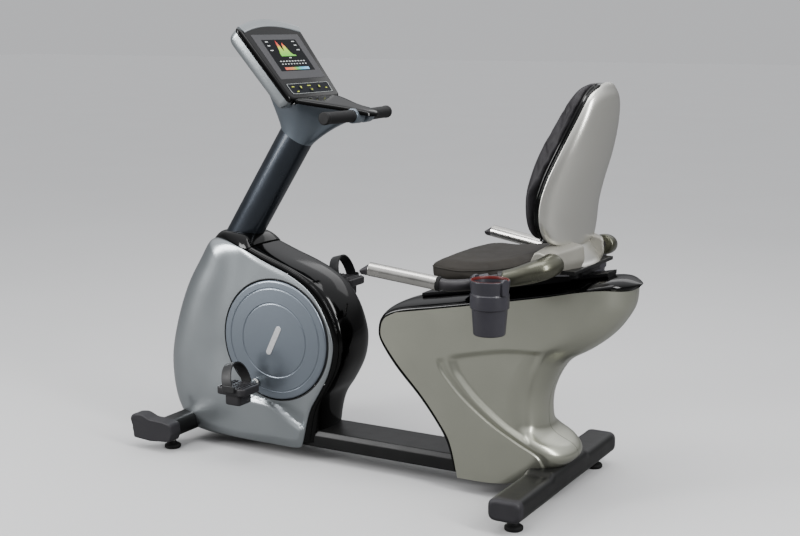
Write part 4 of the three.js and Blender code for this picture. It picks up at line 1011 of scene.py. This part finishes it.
COVER_HALF = 107.5
cover_edge = [(296, 60), (276, 139), (242, 196), (186, 265), (111, 342), (63, 404), (54, 436), (66, 472),
              (104, 493), (225, 515), (336, 536), (462, 561), (555, 580), (650, 602), (715, 611), (768, 606)]
cover_crest = [(280, 60), (255, 134), (222, 186), (168, 252), (94, 328), (48, 394), (36, 438), (50, 484),
               (103, 519), (225, 543), (336, 564), (462, 589), (555, 607), (650, 625), (730, 636), (785, 622)]


def cover_taper(share):
    """Full width, then a quarter ellipse that closes the tail over the last seventh."""
    return np.where(share < 0.86, 1, np.sqrt(np.maximum(0.02, 1 - ((share - 0.86) / 0.142) ** 2)))


cover = bridge(cover_edge, cover_crest, COVER_HALF, 230, 72, cover_taper, groove=0)
fit("pedestal_cover_moulding", [skin(cover, SPINE_WALL, (-1, 0, 1))], black_gloss, "frame", "black_gloss",
    "rear_shroud_spine", crease=50)

# ---------------------------------------------------------------- slide rail and carriage
# A black anodised extrusion sloping up to the rear, on which the seat's carriage plate slides. A brushed
# edge strip runs along each side of the plate.

# Black anodising keeps the metal's own sheen under a dry, very dark grey.
anodised = surface("black_anodised_aluminium", "#151516", 0.35, blotch=50, tint=0.1, metallic=0.7, grain=0.7)
SLOPE = math.tan(math.radians(10.9))


def rail_top(x):
    """Height of the rail's upper face."""
    return 556 + (x - 225) * SLOPE


def sloped(outline, start, end):
    """A YZ outline, with Z measured from the rail's top, carried along the slope."""
    points, faces = prism(outline, start, end, axis=0)
    points[:, 2] += rail_top(points[:, 0])
    return points, faces


rail_section = fillet([(-34, -49), (34, -49), (34, -22), (28, -20), (28, -12), (34, -10), (34, 0), (-34, 0),
                       (-34, -10), (-28, -12), (-28, -20), (-34, -22)], 1.5, 3)
fit("slide_rail_extrusion", [sloped(rail_section, 150, 700)], anodised, "frame", "slide_metal", "seat_rail")
# Brushed aluminium gives the plate's edges a thin bright line.
bright_edge = surface("brushed_aluminium_edge", "#a9a9ab", 0.3, blotch=12, tint=0.1, metallic=1.0)
DECK_START, DECK_RISE, DECK_HALF, STRIP_HALF = 290, 34 / 350, 90, 1.6
deck, deck_faces = prism(rectangle(292, 640, -DECK_HALF, DECK_HALF, 26, 8), 0, 1, axis=2)
deck[:, 2] = np.where(deck[:, 2] > 0.5, 614 + (deck[:, 0] - DECK_START) * DECK_RISE, rail_top(deck[:, 0]) + 1)
runners = [sloped(rectangle(a, b, -11, 3, 1.5), 330, 600) for a, b in ((36, 48), (-48, -36))]
fit("seat_carriage_deck", [(deck, deck_faces), *runners], anodised, "seat", "slide_metal", "seat_carriage")
strips = []
for y in (-DECK_HALF, DECK_HALF):
    points, faces = prism(rectangle(y - STRIP_HALF, y + STRIP_HALF, -3, 5, 1, 3), 318, 616, axis=0)
    points[:, 2] += 612 + (points[:, 0] - DECK_START) * DECK_RISE
    strips.append((points, faces))
fit("carriage_edge_strips", strips, bright_edge, "seat", "slide_metal")

# ---------------------------------------------------------------- cushions
# Moulded foam on a board, covered in coated fabric. The seat is waisted in front, dished, and rises at
# the rear; the back is a tall pad in a glossy trim. Air pressure in a cloth simulation rounds the covers.

# Coated fabric is nearly matt, with a leather grain that breaks up the light. The seat's is browner.
seat_vinyl = surface("brown_black_coated_fabric", "#292622", 0.6, blotch=45, tint=0.09, wear=0.05,
                     specular_ior_level=0.2)
back_vinyl = surface("black_coated_fabric", "#262427", 0.56, blotch=45, tint=0.09, wear=0.05,
                     specular_ior_level=0.3)
for material in (seat_vinyl, back_vinyl):
    tree = material.node_tree
    place = next(n for n in tree.nodes if n.type == "TEX_COORD").outputs["Object"]
    # The grain is pressed into the coating: cells about 1.6 mm across with soft valleys between them.
    cells = add_node(tree, "ShaderNodeTexVoronoi", {"Vector": place, "Scale": 1000 / 1.6}, feature="SMOOTH_F1")
    grain = add_node(tree, "ShaderNodeBump", {
        "Height": cells.outputs["Distance"], "Distance": 0.00012, "Strength": 0.7})
    wrinkle = add_node(tree, "ShaderNodeTexNoise", {"Vector": place, "Scale": 1000 / 38, "Detail": 3.0})
    slack = add_node(tree, "ShaderNodeBump", {
        "Height": wrinkle.outputs["Fac"], "Distance": 0.0009, "Strength": 0.5,
        "Normal": grain.outputs["Normal"]})
    tree.links.new(slack.outputs["Normal"], tree.nodes["Principled BSDF"].inputs["Normal"])


def oval(centre, along, across, power, count=72):
    """A superellipse ring about a centre with two semi-axes, given as vectors."""
    angle = full_turn(count)
    a, b = squared(np.cos(angle), power), squared(np.sin(angle), power)
    return np.asarray(centre) + a[:, None] * np.asarray(along) + b[:, None] * np.asarray(across)


# Seat sections: x, underside z, top z, half width.
seat_sections = eased(through([
    (247, 632, 654, 150), (256, 622, 666, 184), (290, 618, 666, 199), (350, 622, 662, 200),
    (420, 630, 668, 200), (490, 641, 683, 198), (540, 650, 700, 190), (562, 660, 702, 168)], 60), 2)
# Back sections: front x, seam x, rear x, z, half width.
back_sections = eased(through([
    (544, 568, 612, 728, 120), (522, 560, 620, 744, 149), (509, 554, 624, 786, 169),
    (507, 557, 629, 840, 172), (525, 575, 643, 900, 169), (555, 603, 666, 970, 154),
    (586, 629, 682, 1036, 132), (607, 646, 689, 1085, 110), (623, 654, 690, 1116, 84),
    (646, 664, 682, 1136, 46)], 90), 2)
BACK_LEAN, CLOTH_FRAMES = 0.36, 20


def back_ring(front, rear, seam, z, half, power=3.0):
    """A section of the back, tipped so that it lies square to the leaning seam."""
    depth, middle = (rear - front) / 2, (front + rear) / 2
    centre = (middle, 0, z + BACK_LEAN * (seam - middle))
    return oval(centre, (depth, 0, -BACK_LEAN * depth), (0, half, 0), power)


def puffed(piece, voxel, cap, pressure=4.0):
    """Rounds a pad: it is remeshed in voxels, blown up as cloth with no gravity for CLOTH_FRAMES, and each
    point is moved at most cap metres towards where the cloth went. Then it is subdivided once."""
    bpy.context.view_layer.objects.active = piece
    remesh = piece.modifiers.new("remesh", "REMESH")
    remesh.mode = "VOXEL"
    remesh.voxel_size = voxel
    remesh.use_smooth_shade = True
    apply_modifier(piece, remesh)
    count = len(piece.data.vertices)
    rest = np.empty(count * 3)
    piece.data.vertices.foreach_get("co", rest)
    cloth = piece.modifiers.new("cloth", "CLOTH")
    cloth.settings.use_pressure = True
    cloth.settings.uniform_pressure_force = pressure
    cloth.settings.effector_weights.gravity = 0
    cloth.settings.tension_stiffness = 25
    cloth.settings.compression_stiffness = 25
    cloth.settings.bending_stiffness = 2
    for number in range(1, CLOTH_FRAMES + 1):
        bpy.context.scene.frame_set(number)
    blown = piece.evaluated_get(bpy.context.evaluated_depsgraph_get())
    went = np.empty(count * 3)
    blown.data.vertices.foreach_get("co", went)
    piece.modifiers.remove(cloth)
    bpy.context.scene.frame_set(1)
    shift = (went - rest).reshape(-1, 3)
    length = np.maximum(np.linalg.norm(shift, axis=1, keepdims=True), 1e-9)
    rest += (shift * cap * np.tanh(length / cap) / length).ravel()
    piece.data.vertices.foreach_set("co", rest)
    smooth = piece.modifiers.new("relax", "SMOOTH")
    smooth.factor, smooth.iterations = 0.5, 3
    rounder = piece.modifiers.new("subdivide", "SUBSURF")
    rounder.levels = rounder.render_levels = 1
    for modifier in (smooth, rounder):
        apply_modifier(piece, modifier)
    piece.data.polygons.foreach_set("use_smooth", np.ones(len(piece.data.polygons), bool))


def welt(path, radius, sides=10):
    """A round tube along a closed path, its section turned square to the path at each point."""
    ahead = unit(np.roll(path, -1, 0) - np.roll(path, 1, 0))
    up = unit(np.cross(ahead, np.array([1.0, 0, 0.2])))
    beside = np.cross(ahead, up)
    angle = full_turn(sides)
    points = path[:, None] + radius * (np.cos(angle)[None, :, None] * up[:, None]
                                       + np.sin(angle)[None, :, None] * beside[:, None])
    return points, grid_faces(len(path), sides, True, True)


def pressed(path, piece, out):
    """Each point of a path, in millimetres, moved to the nearest point of a piece's surface and out along
    its normal there."""
    found = []
    for point in (path + SHIFT) / 1000:
        _, place, normal, _ = piece.closest_point_on_mesh(point.tolist())
        found.append(np.array(place) * 1000 - SHIFT + np.array(normal) * out)
    return eased(np.array(found), 4, endless=True)


SLIM = 3.5
rings = np.array([oval((x, 0, (low + high) / 2), (0, half - SLIM, 0), (0, 0, (high - low) / 2 - SLIM * 0.3), 7)
                  for x, low, high, half in seat_sections])
rings[:, :, 0] += (seat_sections[:, 0].mean() - rings[:, :, 0]) * (SLIM / 158)
seat = make("seat_cushion_cover", [tube(rings)], seat_vinyl)
puffed(seat, 0.005, 0.010, 2.5)
finished(seat, "seat", "seat_leather", "seat_cushion")
middle = seat_sections[3:-3]
seam_line = np.stack([middle[:, 0], middle[:, 3], middle[:, 1] * 0.3 + middle[:, 2] * 0.7], 1)
welt_path = through(np.vstack([seam_line, seam_line[::-1] * MIRROR]), 260, endless=True)
welt_path = eased(pressed(welt_path, seat, 0.4), 6, endless=True)
fit("seat_cushion_welt", [welt(welt_path, 1.9)], seat_vinyl, "seat", "seat_leather")

rings = [back_ring(x0 + SLIM, x1 - 3, x1, z, half - SLIM) for x0, x1, _, z, half in back_sections[1:-1]]
pad = make("back_cushion_cover", [tube(rings)], back_vinyl)
puffed(pad, 0.005, 0.022)
finished(pad, "seat", "back_leather", "back_cushion")

# ---------------------------------------------------------------- back shell and trim
# The back's rear half is one lacquered moulding that narrows to a stem at its foot. A glossy black trim
# clips round its front edge and holds the cushion's cover in the groove.

def shell_ring(seam, rear, z, half, count=96):
    """A section of the shell: nearly square in front of its widest line, and a soft arch behind it."""
    c, s = np.cos(full_turn(count)), np.sin(full_turn(count))
    power = np.where(c > 0, 2.15, 7.0)
    x = seam + 9 + squared(c, power) * np.where(c > 0, rear - seam - 9, 5)
    return np.stack([x, half * squared(s, power), z + BACK_LEAN * (seam - x)], 1)


# Stem sections: seam x, rear x, z, half width.
stem_sections = [(602, 650, 678, 92), (596, 644, 694, 97), (585, 632, 714, 107)]
rings = [shell_ring(*section) for section in stem_sections]
rings += [shell_ring(seam, rear, z, half) for _, seam, rear, z, half in back_sections]
end = rings[-1].mean(0)
rings += [end + (rings[-1] - end) * k + (0.5, 0, lift) for k, lift in ((0.85, 3.5), (0.6, 6.5), (0.3, 8))]
rings = eased(np.array(rings), 3)
# The palest lacquer on the bike, a lighter copy of the silver: its warm tone is its own, and its near-white
# lightness is a painted highlight for the broad, soft highlight across the back.
highlight_painted_lacquer = surface("warm_silver_lacquer_with_painted_highlight_on_abs", "#cfcec7", 0.28, blotch=400, tint=0.01, wear=0.004,
                       metallic=0.8, grain=9, height=0.004, coat_weight=0.4, coat_roughness=0.12)
fit("back_shell_moulding", [tube(rings)], highlight_painted_lacquer, "seat", "silver_paint", "back_shell", crease=60)
sides_up = back_sections[2:, [1, 4, 3]] - (0, 3.5, 0)
trim_path = np.vstack([sides_up, sides_up[::-1] * MIRROR])
trim_path = eased(through(trim_path[::4], 300, endless=True), 8, endless=True)
ahead = unit(np.roll(trim_path, -1, 0) - np.roll(trim_path, 1, 0))
through_pad = np.array([1.0, 0, -BACK_LEAN]) / math.hypot(1, BACK_LEAN)
outward = np.cross(ahead, through_pad)
outward *= np.sign((outward * (trim_path - (600, 0, 900))).sum(1, keepdims=True))
section = fillet([(-8, -6), (9, -6), (9, 1.5), (4, 3.4), (0, 1.2), (-4, 3.4), (-8, 2)], 1.2, 4)
points = trim_path[:, None] + section[None, :, :1] * through_pad + section[None, :, 1:] * outward[:, None]
fit("back_trim_moulding", [(points, grid_faces(len(points), len(section), True, True))], black_gloss,
    "seat", "black_gloss")

# ---------------------------------------------------------------- bracket, covers and bosses
# A folded steel member carries the back and the hand rails. Painted covers hide its ends, and an olive
# metallic boss on each side holds the end of the hand rail.

# A thin satin paint gives the covers a warm, even grey. The bosses' lacquer is darker, greener and shinier.
cover_paint = surface("warm_grey_painted_abs", "#94928a", 0.4, blotch=60, tint=0.04, metallic=0.35, grain=0.7,
                      specular_ior_level=0.3)
olive_paint = surface("olive_grey_metallic_lacquer", "#56564a", 0.3, blotch=60, tint=0.05, metallic=0.75,
                      coat_weight=0.2)
MEMBER_HALF, WING_INNER, WING_OUTER = 140, 66, 196
fit("back_bracket_member", [prism(rectangle(600, 650, 653, 663, 2), -MEMBER_HALF, MEMBER_HALF)], powder_coat,
    "seat", "cover_plastic", "seat_bracket")
wing = fillet([(548, 662), (590, 648), (634, 650), (650, 684), (646, 722), (592, 734), (566, 730), (546, 700)],
              [7, 10, 12, 10, 8, 8, 6, 6], 8)
wing, wing_faces = prism(wing, WING_INNER, WING_OUTER, rounding=6, steps=12)
# The cover narrows outwards, so that its rear face slants towards the back cushion's stem.
outer = step(wing[:, 1], WING_INNER, WING_OUTER)
wing[:, 0] -= (wing[:, 0] - 552) * 0.5 * outer
wing[:, 2] -= (wing[:, 2] - 668) * 0.28 * outer
screw = soft_turned([(0, 188), (4.6, 188), (4.6, 198.4), (2.4, 198.4), (2.2, 196.2), (0, 196.2)], 0.4,
                    place=(576, 0, 698))
pair("bracket_cover", [(wing, wing_faces)], cover_paint, "seat", "cover_plastic")
pair("bracket_cover_screw", [screw], zinc_plate, "seat", "cover_plastic")

# ---------------------------------------------------------------- hand rails
# Bent steel tubes in a moulded grey sleeve run from the bosses round the seat and forward past the
# rider's thighs. Each ends in a slanted cap, with a brushed stainless pulse sensor behind it.

# Brush lines run round the tube, so its highlight spreads along the grip. They are drawn about 0.8 mm apart,
# coarser than real ones, so that they show.
stainless = surface("brushed_stainless_steel", "#c6c4bf", 0.24, blotch=30, tint=0.04, metallic=1.0,
                    anisotropic=0.6)
tree = stainless.node_tree
place = add_node(tree, "ShaderNodeTexCoord").outputs["Object"]
stretched = add_node(tree, "ShaderNodeMapping", {"Vector": place, "Scale": (1.0, 0.04, 0.04)})
lines = add_node(tree, "ShaderNodeTexNoise", {"Vector": stretched.outputs["Vector"], "Scale": 1000 / 0.8})
brushed = add_node(tree, "ShaderNodeBump", {
    "Height": lines.outputs["Fac"], "Distance": 0.00002, "Strength": 0.6})
tree.links.new(brushed.outputs["Normal"], tree.nodes["Principled BSDF"].inputs["Normal"])
# The sleeve is charcoal plastic with a soft sheen along the tube.
rail_plastic = surface("moulded_charcoal_sleeve", "#2e2c2f", 0.42, blotch=40, tint=0.08, grain=0.8, height=0.02,
                       specular_ior_level=0.35)

hand_route = np.array([
    (152, 377, 670), (262, 361, 655), (372, 345, 640), (394, 341, 638), (434, 312, 639), (478, 272, 646),
    (540, 250, 660), (588, 232, 676), (604, 200, 684), (602, 160, 688)], float)


def along(route, count, radius, start=0.0, stop=1.0, flat=1.0, sides=40, ends=4.0):
    """A tube along part of a route, from share start to share stop of its length, with round-edged ends.
    Radius may be a function of the share. Flat squeezes the section's height."""
    line = eased(through(route, 400), 10)
    length = np.concatenate([[0], np.cumsum(np.linalg.norm(np.diff(line, axis=0), axis=1))])
    total = length[-1]
    share = np.linspace(start, stop, count)
    lip = np.array([0, 0.08, 0.3, 0.6, 1.0]) * ends / total
    share = np.unique(np.concatenate([share, start + lip, stop - lip]))
    centre = np.stack([np.interp(share * total, length, line[:, k]) for k in range(3)], 1)
    near = np.minimum((share - start) * total, (stop - share) * total)
    shrink = np.maximum(0, 1 - near / ends) if ends else np.zeros(len(share))
    size = (radius(share) if callable(radius) else radius) - ends * (1 - np.sqrt(1 - shrink ** 2))
    ahead = unit(np.gradient(centre, axis=0))
    beside = unit(np.cross(ahead, (0, 0, 1.0)))
    up = np.cross(beside, ahead)
    angle = full_turn(sides)
    return tube(centre[:, None] + size[:, None, None] * (
        np.cos(angle)[None, :, None] * beside[:, None] + flat * np.sin(angle)[None, :, None] * up[:, None]))


def boss_radius(share):
    """The boss swells from 25 to 33 mm towards its inner end."""
    return 25 + 8 * step(share, 0.68, 0.88)


route_span = np.linalg.norm(np.diff(hand_route, axis=0), axis=1)
GRIP = route_span[:2].sum() / route_span.sum()
cap, cap_faces = along(hand_route, 24, 17.6, 0.004, GRIP * 0.15, ends=7)
slant = step((cap - hand_route[0]) @ unit(hand_route[0] - hand_route[1]), -34, 2)
cap[:, 2] -= slant * np.maximum(0, cap[:, 2] - (hand_route[0][2] - 9)) * 0.75
pair("hand_rail_tube", [along(hand_route, 90, 15.2, GRIP * 0.9, 0.97)], rail_plastic, "seat", "grey_plastic",
     "hand_rail")
pair("hand_rail_cap", [(cap, cap_faces)], rail_plastic, "seat", "grey_plastic")
pair("pulse_sensor_sleeve", [along(hand_route, 60, 18.0, GRIP * 0.115, GRIP * 0.94, sides=64, ends=1.2)],
     stainless, "seat", "steel", "pulse_sleeve")
pair("pulse_sensor_seam", [along(hand_route + (0, 0, 17.6), 40, 1.6, GRIP * 0.125, GRIP * 0.93, flat=0.5,
                                 sides=10, ends=0.6)], seal_rubber, "seat", "rubber")
pair("hand_rail_ring", [along(hand_route, 8, 18.8, GRIP * 0.94, GRIP * 0.985, sides=64, ends=1.5)],
     tyre_rubber, "seat", "rubber")
pair("hand_rail_boss", [along(hand_route, 40, boss_radius, 0.69, 0.97, flat=0.86, sides=64, ends=9)],
     olive_paint, "seat", "cover_plastic")
pair("hand_rail_throat", [along(hand_route, 8, 21.0, 0.672, 0.72, sides=48, ends=3)], seal_rubber,
     "seat", "rubber")

# ---------------------------------------------------------------- cup holders
# A tapered cup moulded in charcoal plastic hangs from a clamp round each hand rail. It has a collar, a
# flared rim with an ear at each side, and a red ring pressed inside the mouth.

# The charcoal plastic has a soft sheen down each side of the cup, and the insert is a dull dark red.
cup_plastic = surface("moulded_charcoal_polypropylene", "#323137", 0.3, blotch=50, tint=0.06, wear=0.015,
                      grain=5, height=0.004)
red_ring = surface("moulded_red_insert", "#5c1511", 0.45, blotch=10, tint=0.08)
CUP, EAR_REACH = np.array([505.0, 340.0, 663.0]), 51.5
cup_profile = [(0, -140), (38.5, -140), (41, -137), (45.5, -76), (45.5, -73), (49.5, -71), (49.5, -36),
               (47, -34), (50, -14), (51, -4), (51, 0), (47.5, 0), (46, -4), (43, -34), (41, -70), (37.5, -133),
               (0, -133)]
clamp = along(hand_route, 12, 21.5, 0.545, 0.63, sides=56, ends=2.5)
ear_outline = fillet([(-9, -34), (9, -34), (12, 2), (6, 7), (-6, 7), (-12, 2)], 3, 4)
ear, ear_faces = prism(ear_outline, -4, 4, rounding=2)
out = ear[:, 1] + EAR_REACH
ears = [(np.stack([out * c - ear[:, 0] * s, out * s + ear[:, 0] * c, ear[:, 2]], 1) + CUP, ear_faces)
        for c, s in ((math.cos(a), math.sin(a)) for a in np.radians([20, 200]))]
pair("cup_holder_cup", [soft_turned(cup_profile, 1.8, sides=120, axis=2, place=CUP), clamp, *ears], cup_plastic,
     "seat", "cup_plastic", "cup_holder")
pair("cup_holder_ring", [turned_ring([(46.8, -2.2), (48.2, 0.9), (46.2, 0.9), (44.9, -3.5), (45.4, -6)],
                                     120, 2, CUP)], red_ring, "seat", "cup_plastic")

# ---------------------------------------------------------------- slide lever
# A bent rod under the right of the cushion lifts to free the slide. It is powder coated and ends in a
# rubber sleeve.

lever_route = np.array([(440, 92.5, 600), (440, 140, 598), (420, 190, 592), (380, 214, 588)], float)
fit("slide_lever_rod", [along(lever_route, 60, 6.0, sides=24, ends=2)], powder_coat,
    "seat_lever", "black_paint", "seat_lever")
fit("slide_lever_sleeve", [along(lever_route, 24, 8.6, 0.68, 1.0, sides=32, ends=4)], grip_foam,
    "seat_lever", "rubber")
